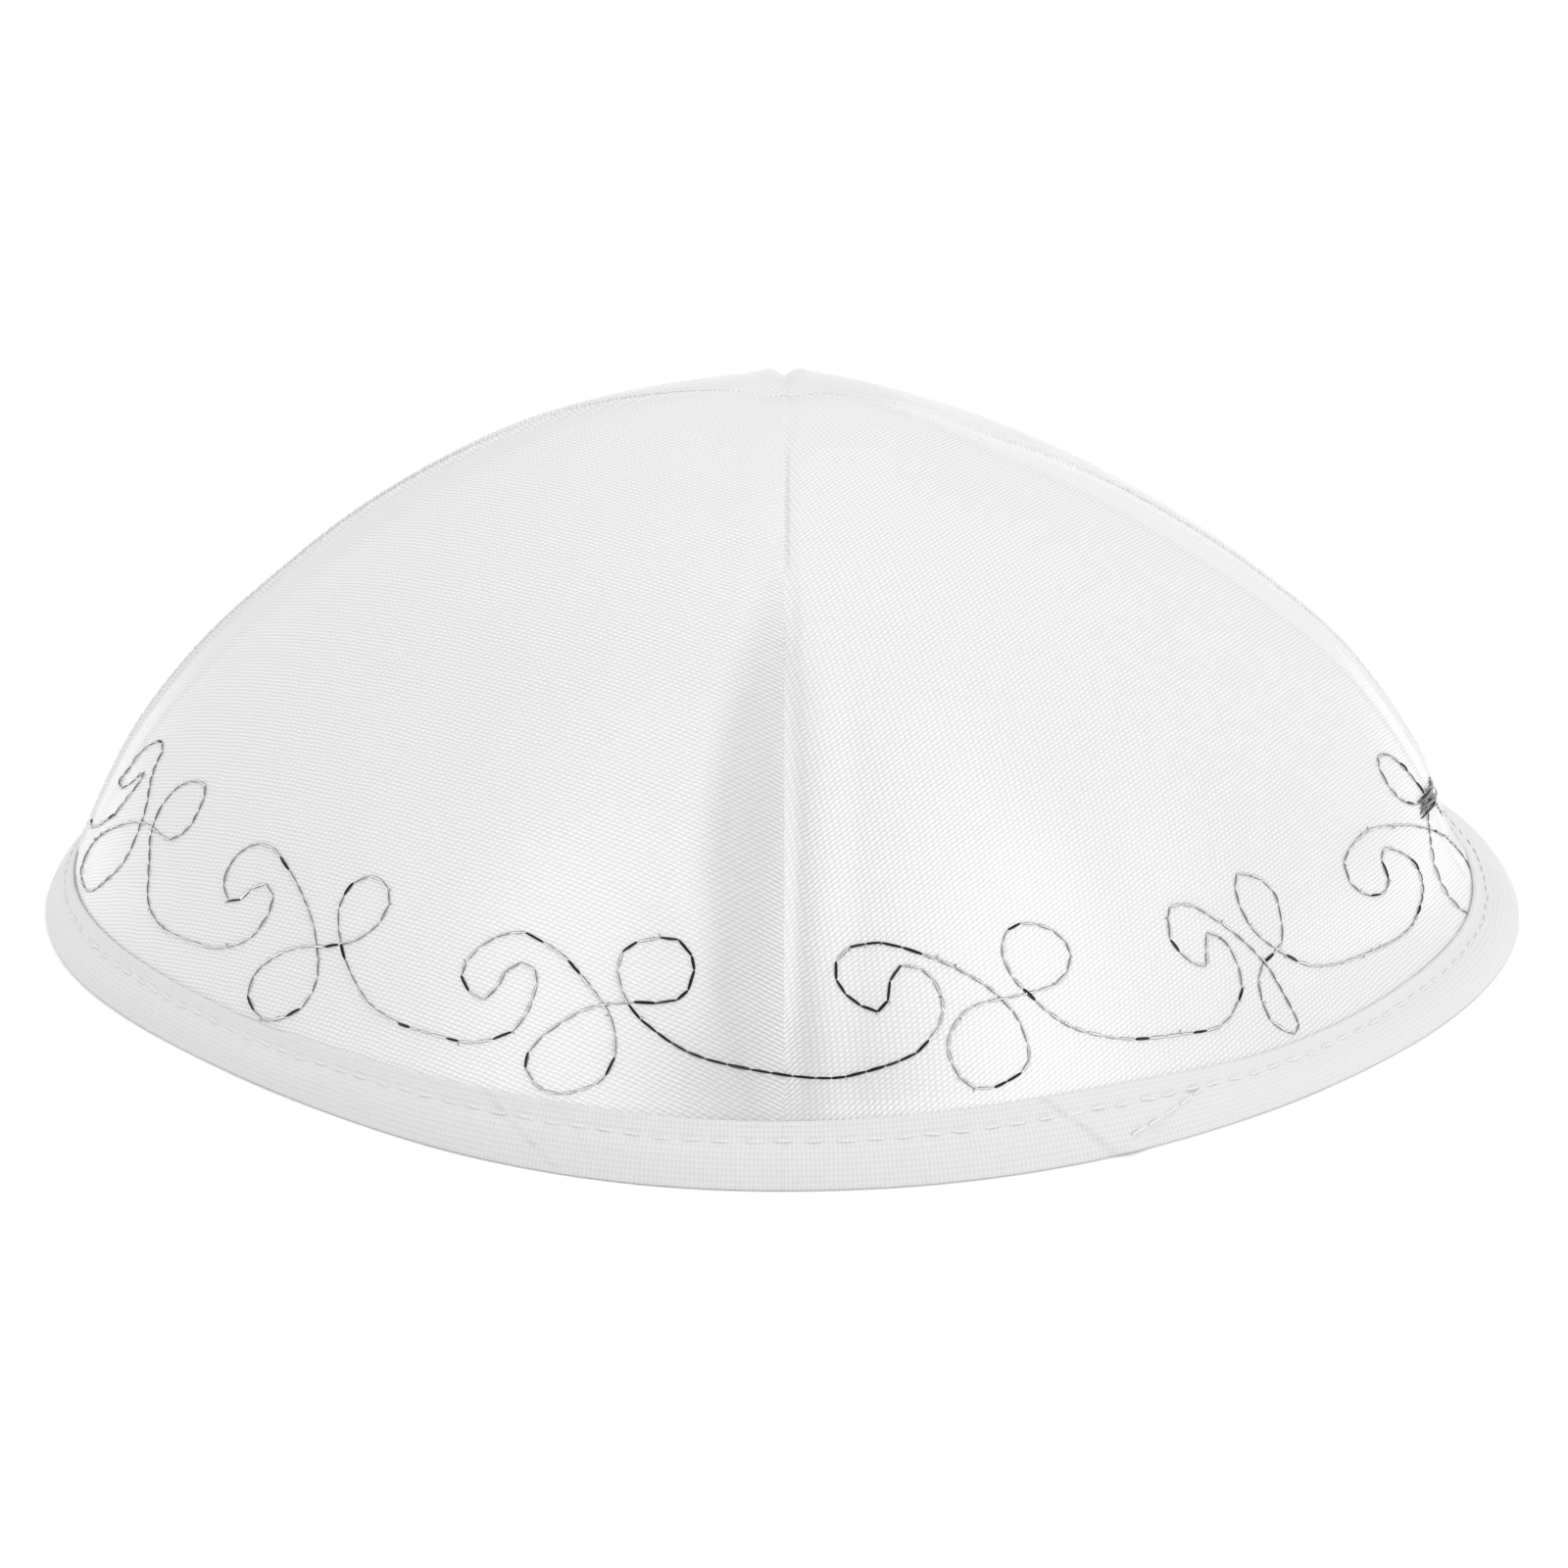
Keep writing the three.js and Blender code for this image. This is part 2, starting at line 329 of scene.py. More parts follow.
def soft_relief(turn, share):
    height = np.zeros(np.broadcast(turn, share).shape)
    for dent in DENT_ROWS:
        around = signed_turn(turn - dent["turn"]) * ring_radius(turn, share) / dent["around"]
        down = CROWN_RADIUS * CROWN_ANGLE * (share - dent["share"]) / dent["down"]
        height = height + dent["height"] * np.exp(-(around**2) - down**2)
    return height


# %% How wide the tape shows, which is also where the gores disappear under it
# degrees round the cap from the front seam, and millimetres
TAPE_WIDTHS = np.array([
    (-180, 6.7), (-125, 5.9), (-90, 5.0), (-72, 5.4), (-57, 5.5), (-46, 5.4), (-37, 5.9), (-28, 6.4), (-17, 6.8),
    (-8, 6.6), (0, 6.5), (10, 6.8), (22, 6.9), (31, 6.2), (38, 5.2), (44, 4.9), (52, 4.8), (64, 4.9), (77, 4.6),
    (92, 4.8), (125, 5.7), (155, 6.4), (180, 6.7),
])


def tape_width(turn):
    """The table's width, as the mean of five places side by side, so that it has no corners."""
    degrees = np.degrees(signed_turn(turn))
    nearby = [np.interp(degrees + shift, TAPE_WIDTHS[:, 0], TAPE_WIDTHS[:, 1]) for shift in (-4, -2, 0, 2, 4)]
    return sum(nearby) / len(nearby)


def pressed(turn, share):
    """1 on the open cloth, going to 0 under the tape, which presses every roll flat."""
    rise = (1 - share) * crown_distance(turn, np.ones_like(turn)) * rim_angle(turn)
    return soft_step(rise - tape_width(turn), -0.8, 1.6)


# %% A point on the finished cloth
def cloth_point(turn, share, height=0.0):
    """A point at a height above the finished cloth."""
    turn, share = np.asarray(turn, float), np.asarray(share, float)
    relief = seam_relief(turn, share) + front_fold(turn, share) + soft_relief(turn, share)
    return crown_point(turn, share, relief * pressed(turn, share) + height)


# %% [markdown]
# ## The four gores
# A real gore is cut flat and shaped by its seams. Here each one starts as a flat grid, which is
# the cut cloth, and its points are then laid on the crown, much as a tailor pins cloth on a form.
# The grid's lines are crowded towards the two seams, where the small rolls need them.
# Solidify then gives the wall, and the wall's inner side is set back to a plainer shape,
# because a fine groove on the outside doesn't dent the backing.
# The mesh also keeps where the seam allowance lies behind the satin, and where painted shade darkens it beside
# the seams, for the material.

# %% Helpers for placing a piece's points
def deselect():
    bpy.ops.object.select_all(action="DESELECT")


def read_points(obj):
    points = np.empty(len(obj.data.vertices) * 3)
    obj.data.vertices.foreach_get("co", points)
    return points.reshape(-1, 3)


def place_points(obj, points_mm):
    obj.data.vertices.foreach_set("co", (points_mm * MM).ravel())
    obj.data.update()


def place_uvs(obj, uvs):
    """Gives each corner of each face its vertex's place on the flat cloth."""
    layer = obj.data.uv_layers[0]
    corners = np.empty(len(obj.data.loops), int)
    obj.data.loops.foreach_get("vertex_index", corners)
    layer.data.foreach_set("uv", uvs[corners].ravel())


def triangles(obj):
    return sum(len(face.vertices) - 2 for face in obj.data.polygons)


# %% Size and weave direction of a gore
GORE_COLUMNS = 136
GORE_ROWS = 200
GORE_TOP_SHARE = 0.001
SEAM_GAP = 0.004          # half the hairline left between two gores, mm
EVENLY = 0.22             # share of the columns that are spread evenly, the rest gather at the seams
CLOTH_SPAN = 150          # mm of cloth for one unit of the UV map
GORE_MIDDLE_ANGLE = math.radians(40)      # the gore's middle, down from the top
SPREAD_RADIUS = 84.5      # of the ball that the gore is unrolled from, mm


def flat_cloth(turn, share, middle_turn, twill_turn):
    """Where a point of the crown lies on its flat gore, in UV units, with the twill lines lying along U."""
    where = crown_point(turn, share, 0.0) + (0, 0, BALL_DROP)
    where /= np.linalg.norm(where, axis=-1, keepdims=True)
    sin_m, cos_m = math.sin(middle_turn), math.cos(middle_turn)
    sin_a, cos_a = math.sin(GORE_MIDDLE_ANGLE), math.cos(GORE_MIDDLE_ANGLE)
    middle = np.array([sin_a * sin_m, -sin_a * cos_m, cos_a])
    crosswise = np.array([cos_m, sin_m, 0.0])
    downwards = np.array([cos_a * sin_m, -cos_a * cos_m, -sin_a])
    far = np.arccos(np.clip(where @ middle, -1, 1))
    stretch = SPREAD_RADIUS * far / np.maximum(np.sin(far), 1e-9)
    flat = np.stack([stretch * (where @ crosswise), stretch * (where @ downwards)], -1)
    c, s = math.cos(twill_turn), math.sin(twill_turn)
    turned = np.stack([flat[..., 0] * c + flat[..., 1] * s, -flat[..., 0] * s + flat[..., 1] * c], -1)
    return 0.5 + turned / CLOTH_SPAN


# %% Lay one gore
def make_gore(name, first_turn, twill_degrees, satin):
    deselect()
    bpy.ops.mesh.primitive_grid_add(x_subdivisions=GORE_COLUMNS, y_subdivisions=GORE_ROWS, size=1)
    gore = bpy.context.object
    gore.name = gore.data.name = name
    flat = read_points(gore)
    across, down = flat[:, 0] + 0.5, 0.5 - flat[:, 1]
    middle_turn = first_turn + math.pi / 4
    end_share = share_above_rim(middle_turn, tape_width(middle_turn) / 2)
    share = GORE_TOP_SHARE + (end_share - GORE_TOP_SHARE) * down
    from_seam = 1 - np.abs(2 * across - 1)
    gathered = EVENLY * from_seam + (1 - EVENLY) * from_seam**3
    beside = np.maximum(gathered * math.pi / 4, SEAM_GAP / (CROWN_RADIUS * np.sin(share * CROWN_ANGLE)))
    turn = first_turn + np.where(across < 0.5, beside, math.pi / 2 - beside)
    place_points(gore, cloth_point(turn, share))
    place_uvs(gore, flat_cloth(turn, share, middle_turn, math.radians(twill_degrees)))
    outer_area = sum(face.area for face in gore.data.polygons)
    wall = gore.modifiers.new("wall", "SOLIDIFY")
    wall.thickness = CLOTH_WALL * MM
    wall.offset = -1
    bpy.ops.object.modifier_apply(modifier=wall.name)
    points = read_points(gore) / MM
    follow = soft_relief(turn, share) + np.minimum(front_fold(turn, share), 0)
    points[len(flat):] = crown_point(turn, share, follow * pressed(turn, share) - CLOTH_WALL)
    place_points(gore, points)
    # where the allowance shows through, and below 0 the painted shade beside the seams
    allowance_and_shade = gore.data.attributes.new("allowance_and_seam_shade", "FLOAT", "POINT")
    allowance_and_shade.data.foreach_set("value", np.tile(allowance_and_seam_shade_at(turn, share), 2))
    bpy.ops.object.shade_smooth_by_angle(angle=math.radians(60))
    gore.data.materials.append(satin)
    print(name, "outer cloth", round(outer_area * 1e4, 1), "cm2,", triangles(gore), "triangles")
    return gore


# %% [markdown]
# ## White satin
# Satin shines because its threads float over several others before they dive under one. The floats
# lie in slanting lines, half a millimetre apart, which the light picks out as a fine twill.
# The pattern is drawn from the cloth's own UV map in millimetres, so it bends with each gore.
# It moves the colour a little, and a bump breaks the gloss into small glints.
# Thin satin lets light through, so it looks a shade whiter where the seam allowance lies behind it.
# Painted shade is in the satin's colour too: along the allowance's pressed edge, and on the far side of the left
# and right seams.

# %% Small helpers for node trees
def new_material(name):
    """A new material, its node tree and its shader."""
    material = bpy.data.materials.new(name)
    material.use_nodes = True
    return material, material.node_tree, material.node_tree.nodes["Principled BSDF"]


def math_node(tree, operation, *inputs):
    node = tree.nodes.new("ShaderNodeMath")
    node.operation = operation
    for socket, value in zip(node.inputs, inputs):
        if isinstance(value, (int, float)):
            socket.default_value = value
        else:
            tree.links.new(value, socket)
    return node.outputs[0]


def cloth_millimetres(tree):
    """The UV map as two sockets in millimetres of cloth."""
    uv = tree.nodes.new("ShaderNodeUVMap")
    apart = tree.nodes.new("ShaderNodeSeparateXYZ")
    tree.links.new(uv.outputs["UV"], apart.inputs[0])
    return [math_node(tree, "MULTIPLY", apart.outputs[axis], CLOTH_SPAN) for axis in (0, 1)]


def noise(tree, along, across, scale):
    joined = tree.nodes.new("ShaderNodeCombineXYZ")
    tree.links.new(along, joined.inputs[0])
    tree.links.new(across, joined.inputs[1])
    node = tree.nodes.new("ShaderNodeTexNoise")
    node.inputs["Scale"].default_value = scale
    node.inputs["Detail"].default_value = 2.0
    tree.links.new(joined.outputs[0], node.inputs["Vector"])
    return node.outputs["Fac"]


def wander(tree, along, across, scale):
    """A quarter of a millimetre to and fro, because no thread lies quite straight."""
    centred = math_node(tree, "SUBTRACT", noise(tree, along, across, scale), 0.5)
    return math_node(tree, "MULTIPLY", centred, 0.5)


def wave(tree, place, pitch, kind="SINE"):
    return math_node(tree, kind, math_node(tree, "MULTIPLY", place, 2 * math.pi / pitch))


def ramp(tree, value, low, high, low_out=0.0, high_out=1.0, kind="LINEAR"):
    """low_out where the value is low, high_out where it is high, and a slope between them."""
    node = tree.nodes.new("ShaderNodeMapRange")
    node.interpolation_type = kind
    node.inputs["From Min"].default_value, node.inputs["From Max"].default_value = low, high
    node.inputs["To Min"].default_value, node.inputs["To Max"].default_value = low_out, high_out
    tree.links.new(value, node.inputs["Value"])
    return node.outputs[0]


def paint(tree, value, shader):
    """Gives red, green and blue the same value, as everything here is white or grey."""
    node = tree.nodes.new("ShaderNodeCombineColor")
    for channel in range(3):
        tree.links.new(value, node.inputs[channel])
    tree.links.new(node.outputs[0], shader.inputs["Base Color"])


def bumped(tree, height, depth_mm, strength, shader):
    node = tree.nodes.new("ShaderNodeBump")
    node.inputs["Strength"].default_value = strength
    node.inputs["Distance"].default_value = depth_mm * MM
    tree.links.new(height, node.inputs["Height"])
    tree.links.new(node.outputs["Normal"], shader.inputs["Normal"])


# %% The satin
TWILL_PITCH = 0.46        # from one slanting line to the next, mm
FLOAT_LENGTH = 0.80       # one float and the dive under the next thread, mm
FLOAT_STEP = 0.36         # each line starts this share of a float further on
SATIN_DARK, SATIN_PALE = 0.67, 0.925
SATIN_GLOSS = (0.23, 0.28)        # roughness here and there
SATIN_MIRROR = 0.36               # how much of the room the floats mirror
# over the allowance the weave shows less and the cloth is paler, and painted shade darkens the allowance's
# pressed edge
WEAVE_LOST, PALER, PRESSED_EDGE_PAINTED_SHADE = 0.7, 0.05, 0.16
# how much the painted shade on the far side of a seam darkens the satin's colour
PAINTED_SHADE_DARKER = 0.55


def make_satin():
    material, tree, shader = new_material("white satin")
    along, across = cloth_millimetres(tree)
    crosswise = math_node(tree, "ADD", across, wander(tree, along, across, 0.25))
    row = math_node(tree, "DIVIDE", crosswise, TWILL_PITCH)
    number = math_node(tree, "ROUND", row)
    ridge = wave(tree, row, 1, "COSINE")
    stepped = math_node(tree, "MULTIPLY_ADD", number, FLOAT_STEP, math_node(tree, "DIVIDE", along, FLOAT_LENGTH))
    dash = wave(tree, stepped, 1, "COSINE")
    height = math_node(tree, "MULTIPLY_ADD", dash, 0.35, math_node(tree, "MULTIPLY", ridge, 0.65))
    height = math_node(tree, "MULTIPLY_ADD", noise(tree, along, across, 2.5), 0.5, height)
    allowance_and_shade = tree.nodes.new("ShaderNodeAttribute")
    allowance_and_shade.attribute_name = "allowance_and_seam_shade"
    covered = math_node(tree, "MAXIMUM", allowance_and_shade.outputs["Fac"], 0.0)
    # below 0 the attribute holds the painted shade beside a seam
    painted_seam_shade = math_node(tree, "MINIMUM", allowance_and_shade.outputs["Fac"], 0.0)
    contrast = math_node(tree, "MULTIPLY_ADD", covered, -WEAVE_LOST, 1.0)
    tone = ramp(tree, math_node(tree, "MULTIPLY", height, contrast), -0.9, 1.2, SATIN_DARK, SATIN_PALE)
    # painted shade along the allowance's pressed edge, darkest in its soft border
    edge = math_node(tree, "MULTIPLY", covered, math_node(tree, "SUBTRACT", 1.0, covered))
    tone = math_node(tree, "MULTIPLY_ADD", covered, PALER, tone)
    tone = math_node(tree, "MULTIPLY_ADD", edge, -PRESSED_EDGE_PAINTED_SHADE, tone)
    tone = math_node(tree, "MULTIPLY_ADD", painted_seam_shade, PAINTED_SHADE_DARKER, tone)
    paint(tree, tone, shader)
    gloss = ramp(tree, noise(tree, along, across, 0.08), 0.3, 0.7, *SATIN_GLOSS)
    tree.links.new(gloss, shader.inputs["Roughness"])
    shader.inputs["Metallic"].default_value = SATIN_MIRROR
    shader.inputs["Specular IOR Level"].default_value = 0.5
    shader.inputs["Sheen Weight"].default_value = 0.1
    shader.inputs["Sheen Roughness"].default_value = 0.4
    bumped(tree, height, 0.03, 0.5, shader)
    return material


satin = make_satin()

# %% Lay all four
QUARTER = math.pi / 2
GORES = [
    {"name": "gore_front_right", "node": "crown_panel_front_right", "turn": 0 * QUARTER, "twill": -12},
    {"name": "gore_back_right", "node": "crown_panel_back_right", "turn": 1 * QUARTER, "twill": -8},
    {"name": "gore_back_left", "node": "crown_panel_back_left", "turn": 2 * QUARTER, "twill": -12},
    {"name": "gore_front_left", "node": "crown_panel_front_left", "turn": 3 * QUARTER, "twill": -5},
]
gores = [make_gore(g["name"], g["turn"], g["twill"], satin) for g in GORES]

# %% [markdown]
# ## The tape round the rim
# A strip of woven tape is folded over the raw edge and stitched through. Its outer leaf is the band
# that shows, its fold rests on the table and its inner leaf lies inside the cap.
# A flat grid is the strip. Its long sides and its ends are brought together into a closed sleeve,
# which has the folded tape's section: two leaves with rounded edges, joined below.

# %% The folded section, as points of (height above the crown, rise above the rim)
LEAF = 1.0                # one leaf of the folded tape near the rim
LEAF_EDGE = 0.5           # its upper edge is pressed thinner
LEAF_GAP = 0.3            # between the leaf and the gore near the rim
LEAF_LIFT = 0.03          # and at the upper edge
LEAF_SWELLS = (0.2, 3.8)  # from there to here below that edge it gets to its full height
LEAF_INSIDE = 1.2         # the leaves' inner faces begin this far above the rim, over the fold
OUTER_ROUND, INNER_ROUND = 0.5, 0.9        # radii of the fold's two lower edges
TAPE_STEPS = 1080
OUTLINE_ROWS = 30


def arc(middle, radius, start, end, count):
    angles = np.radians(np.linspace(start, end, count))
    return [(middle[0] + radius * math.cos(a), middle[1] + radius * math.sin(a)) for a in angles]


def tape_outline(width):
    """Round the section: up the outside, over the outer leaf, down to the fold, and the inner leaf likewise."""
    out, lining = LEAF_GAP + LEAF, -CLOTH_WALL - LEAF_GAP
    edge, hem = LEAF / 2, LEAF_EDGE / 2
    outline = [(out, r) for r in np.linspace(OUTER_ROUND, width - hem, OUTLINE_ROWS)]
    outline += arc((out - hem, width - hem), hem, 20, 160, 5)
    outline += [(LEAF_GAP, r) for r in np.linspace(width - hem, LEAF_INSIDE, 6)]
    outline += [(0.5 * (LEAF_GAP + lining), LEAF)]
    outline += [(lining, r) for r in np.linspace(LEAF_INSIDE, width - edge, 6)]
    outline += arc((lining - edge, width - edge), edge, 15, 165, 7)
    outline += [(lining - LEAF, r) for r in np.linspace(width - edge, INNER_ROUND, 8)]
    outline += arc((lining - LEAF + INNER_ROUND, INNER_ROUND), INNER_ROUND, 180, 270, 5)[1:]
    outline += arc((out - OUTER_ROUND, OUTER_ROUND), OUTER_ROUND, 270, 360, 5)[:-1]
    return np.array(outline)


def leaf_height(below):
    """The outer leaf's face, a number of millimetres below its upper edge: thin there, full near the rim."""
    return LEAF_EDGE + LEAF_LIFT + (LEAF_GAP + LEAF - LEAF_EDGE - LEAF_LIFT) * soft_step(below, *LEAF_SWELLS)


# %% Ripples of the tape
STITCH_SHARE = 0.69        # the stitch line lies this share of the way up the tape
STITCH_PITCH = 3.1
RIM_RADIUS = 84.0          # of the rim's circle, mm
LINE_DEEP, LINE_WIDE = 0.16, 0.50
PUFF_HIGH, PUFF_PITCH = 0.07, 7.0          # small ripples at the upper edge
SWAY_HIGH, SWAY_PITCH = 0.12, 31.0         # and long ones near the rim


def tape_relief(turn, rise, width):
    along = turn * RIM_RADIUS
    below = width - rise
    pull = 0.7 + 0.3 * np.cos(2 * math.pi * along / STITCH_PITCH)
    line = -LINE_DEEP * bump(rise, STITCH_SHARE * width, LINE_WIDE) * pull
    puff = PUFF_HIGH * ripple(along, PUFF_PITCH, 0.4) * np.exp(-((below / 1.6) ** 2))
    sway = SWAY_HIGH * ripple(along, SWAY_PITCH, 2.0) * soft_step(below, 2, 5)
    return line + puff + sway


# %% The two joins in front: a slanting one on the left, and an overlap folded to a triangle on the right
# Each line goes from the rim to the tape's upper edge, given by its turns there in degrees.
SLANT_JOIN = (-14.9, -22.8)
SLANT_HIGH = 0.16
OVERLAP_JOIN = (24.2, 19.3)
OVERLAP_HIGH = 0.17
FLAP_SIDE = (24.2, 34.5)
FLAP_HIGH = 0.24
KNOB_TURN, KNOB_HIGH = 25.2, 0.75          # the folded corner stands out at the rim


def line_turn(line, rise, width):
    low, high = np.radians(line)
    return low + (high - low) * rise / width


def join_ridge(turn, rise, width, line, size):
    away = (turn - line_turn(line, rise, width)) * RIM_RADIUS
    uneven = 0.65 + 0.35 * ripple(rise, 1.5, line[0])
    return size * uneven * (bump(away, 0, 0.30) - 0.8 * bump(away, -0.65, 0.40))


def flap_relief(turn, rise, width):
    """The folded end of the tape, a flat triangle between the overlap and its second row of stitches."""
    right_of_overlap = (turn - line_turn(OVERLAP_JOIN, rise, width)) * RIM_RADIUS
    left_of_side = (line_turn(FLAP_SIDE, rise, width) - turn) * RIM_RADIUS
    flap = FLAP_HIGH * soft_step(right_of_overlap, -0.3, 0.35) * soft_step(left_of_side, -0.5, 0.5)
    knob = KNOB_HIGH * bump(turn, math.radians(KNOB_TURN), math.radians(0.8)) * np.exp(-((rise / 1.3) ** 2))
    return flap * soft_step(width - rise, 0.2, 1.2) + knob


def joins_relief(turn, rise, width):
    turn = signed_turn(turn)
    slant = join_ridge(turn, rise, width, SLANT_JOIN, SLANT_HIGH)
    overlap = join_ridge(turn, rise, width, OVERLAP_JOIN, OVERLAP_HIGH)
    return slant + overlap + flap_relief(turn, rise, width)


# %% Lay the tape
NARROW, WIDE = 6.0, 7.0        # two widths whose sections give all the others


def make_tape(name, cloth):
    deselect()
    narrow, wide = tape_outline(NARROW), tape_outline(WIDE)
    section_points = len(narrow)
    bpy.ops.mesh.primitive_grid_add(x_subdivisions=TAPE_STEPS, y_subdivisions=section_points, size=1)
    tape = bpy.context.object
    tape.name = tape.data.name = name
    flat = read_points(tape)
    turn = (flat[:, 0] + 0.5) * 2 * math.pi
    corner = np.rint((flat[:, 1] + 0.5) * section_points).astype(int)
    step = corner % section_points
    width = tape_width(turn)
    height = narrow[step, 0]
    rise = narrow[step, 1] + (wide - narrow)[step, 1] * (width - NARROW)
    relief = (tape_relief(turn, rise, width) + joins_relief(turn, rise, width)) * soft_step(rise, -0.2, 0.8)
    face = leaf_height(width - rise) + relief
    under = LEAF_LIFT + (LEAF_GAP - LEAF_LIFT) * soft_step(width - rise, *LEAF_SWELLS)
    behind_face = LEAF_GAP + LEAF - height
    behind_face = np.clip(behind_face / np.where(rise > width - LEAF_EDGE, LEAF_EDGE, LEAF), 0, 1)
    outer_leaf = soft_step(height, 0.0, LEAF_GAP) > 0.99
    height = np.where(outer_leaf, face + (under - face) * behind_face, height)
    share = share_above_rim(turn, rise)
    points = crown_point(turn, share, height)
    sag = height * np.cos(rim_angle(turn)) * np.clip(1 - rise / width, 0, 1) ** 2
    points[:, 2] = np.maximum(points[:, 2] - sag, 0)
    place_points(tape, points)
    lengths = np.linalg.norm(np.diff(narrow, axis=0, append=narrow[:1]), axis=1)
    run = np.concatenate([[0], np.cumsum(lengths)])
    place_uvs(tape, np.stack([turn * RIM_RADIUS, run[corner]], -1) / CLOTH_SPAN)
    bpy.ops.object.mode_set(mode="EDIT")
    bpy.ops.mesh.select_all(action="SELECT")
    bpy.ops.mesh.remove_doubles(threshold=1e-7)
    bpy.ops.mesh.normals_make_consistent(inside=False)
    bpy.ops.object.mode_set(mode="OBJECT")
    bpy.ops.object.shade_smooth()
    tape.data.materials.append(cloth)
    area = sum(face.area for face in tape.data.polygons)
    print(name, "surface", round(area * 1e4, 1), "cm2,", triangles(tape), "triangles")
    return tape


# %% [markdown]
# ## The tape's cloth
# The tape is a plain weave, each thread over one and under one, with no floats, so it is matte.
# Two crossed waves at the thread pitch draw it, a little uneven as woven cloth is.

# %% The woven tape
TAPE_THREAD = 0.46
TAPE_DARK, TAPE_PALE = 0.63, 0.72


def make_tape_cloth():
    material, tree, shader = new_material("woven tape")
    along, across = cloth_millimetres(tree)
    warp = wave(tree, math_node(tree, "ADD", along, wander(tree, along, across, 0.3)), TAPE_THREAD)
    weft = wave(tree, across, TAPE_THREAD)
    weave = math_node(tree, "MULTIPLY_ADD", weft, 0.45, math_node(tree, "MULTIPLY", warp, 0.55))
    weave = math_node(tree, "MULTIPLY_ADD", noise(tree, along, across, 2.0), 0.5, weave)
    paint(tree, ramp(tree, weave, -0.8, 1.2, TAPE_DARK, TAPE_PALE), shader)
    shader.inputs["Roughness"].default_value = 0.85
    shader.inputs["Specular IOR Level"].default_value = 0.25
    shader.inputs["Sheen Weight"].default_value = 0.2
    bumped(tree, weave, 0.05, 0.5, shader)
    return material


tape = make_tape("rim_tape", make_tape_cloth())

# %% [markdown]
# ## Stitches
# A stitch is a short length of thread between two needle holes: plump in the middle, drawn down at its ends.
# One is modelled from a sphere, pulled out and squared a little, and then laid along a path as often as needed.
# All stitches of a thread are joined into one mesh, because hundreds of objects would be slow to handle.

# %% Model one stitch
STITCH_SIDES = STITCH_RINGS = 8
PLUMP = 0.35              # 1 would leave the sphere round, and 0 would make it a rod


def model_stitch():
    deselect()
    bpy.ops.mesh.primitive_uv_sphere_add(
        segments=STITCH_SIDES, ring_count=STITCH_RINGS, radius=1, rotation=(0, QUARTER, 0))
    bpy.ops.object.transform_apply(rotation=True)
    stitch = bpy.context.object
    points = read_points(stitch)
    around = np.hypot(points[:, 1], points[:, 2])
    thick = np.maximum(around, 1e-6)
    points[:, 1:] *= np.where(around > 1e-6, thick**PLUMP / thick, 0)[:, None]
    # sorted, because the sphere's faces come in another order each time
    faces = sorted(list(face.vertices) for face in stitch.data.polygons)
    bpy.data.objects.remove(stitch)
    return points, faces


STITCH_POINTS, STITCH_FACES = model_stitch()
print("one stitch has", len(STITCH_FACES), "faces")


# %% Lay stitches along a path
UV_SHIFT, UV_SHIFTS = 4.7, 97      # each stitch reads another place of its thread's pattern, mm


def lay_stitches(name, stitches, material):
    """Joins a copy of the stitch for each row of (start, end, up, wide, thick, lift, roll)."""
    points, faces, uvs = [], [], []
    for count, (start, end, up, wide, thick, lift, roll) in enumerate(stitches):
        run = end - start
        length = np.linalg.norm(run)
        run = run / length
        side = np.cross(up, run)
        side /= np.linalg.norm(side)
        top = np.cross(run, side)
        c, s = math.cos(roll), math.sin(roll)
        x, y, z = STITCH_POINTS.T
        y, z = y * wide / 2, z * thick / 2
        y, z = y * c - z * s, y * s + z * c
        bow = lift * (1 - x**2)
        placed = (start + end) / 2 + np.outer(x * length / 2, run) + np.outer(y, side) + np.outer(z + bow, top)
        points.append(placed)
        faces.extend([[v + count * len(x) for v in face] for face in STITCH_FACES])
        aside = STITCH_POINTS[:, 1] / np.abs(STITCH_POINTS[:, 1]).max()
        uvs.append(np.stack([(x + 1) * length / 2 + UV_SHIFT * (count % UV_SHIFTS), aside], -1) / CLOTH_SPAN)
    mesh = bpy.data.meshes.new(name)
    mesh.from_pydata(np.concatenate(points) * MM, [], faces)
    mesh.uv_layers.new(name="UVMap")
    piece = bpy.data.objects.new(name, mesh)
    bpy.context.scene.collection.objects.link(piece)
    place_uvs(piece, np.concatenate(uvs))
    mesh.polygons.foreach_set("use_smooth", np.ones(len(mesh.polygons), bool))
    mesh.materials.append(material)
    print(name, "has", len(stitches), "stitches and", triangles(piece), "triangles")
    return piece
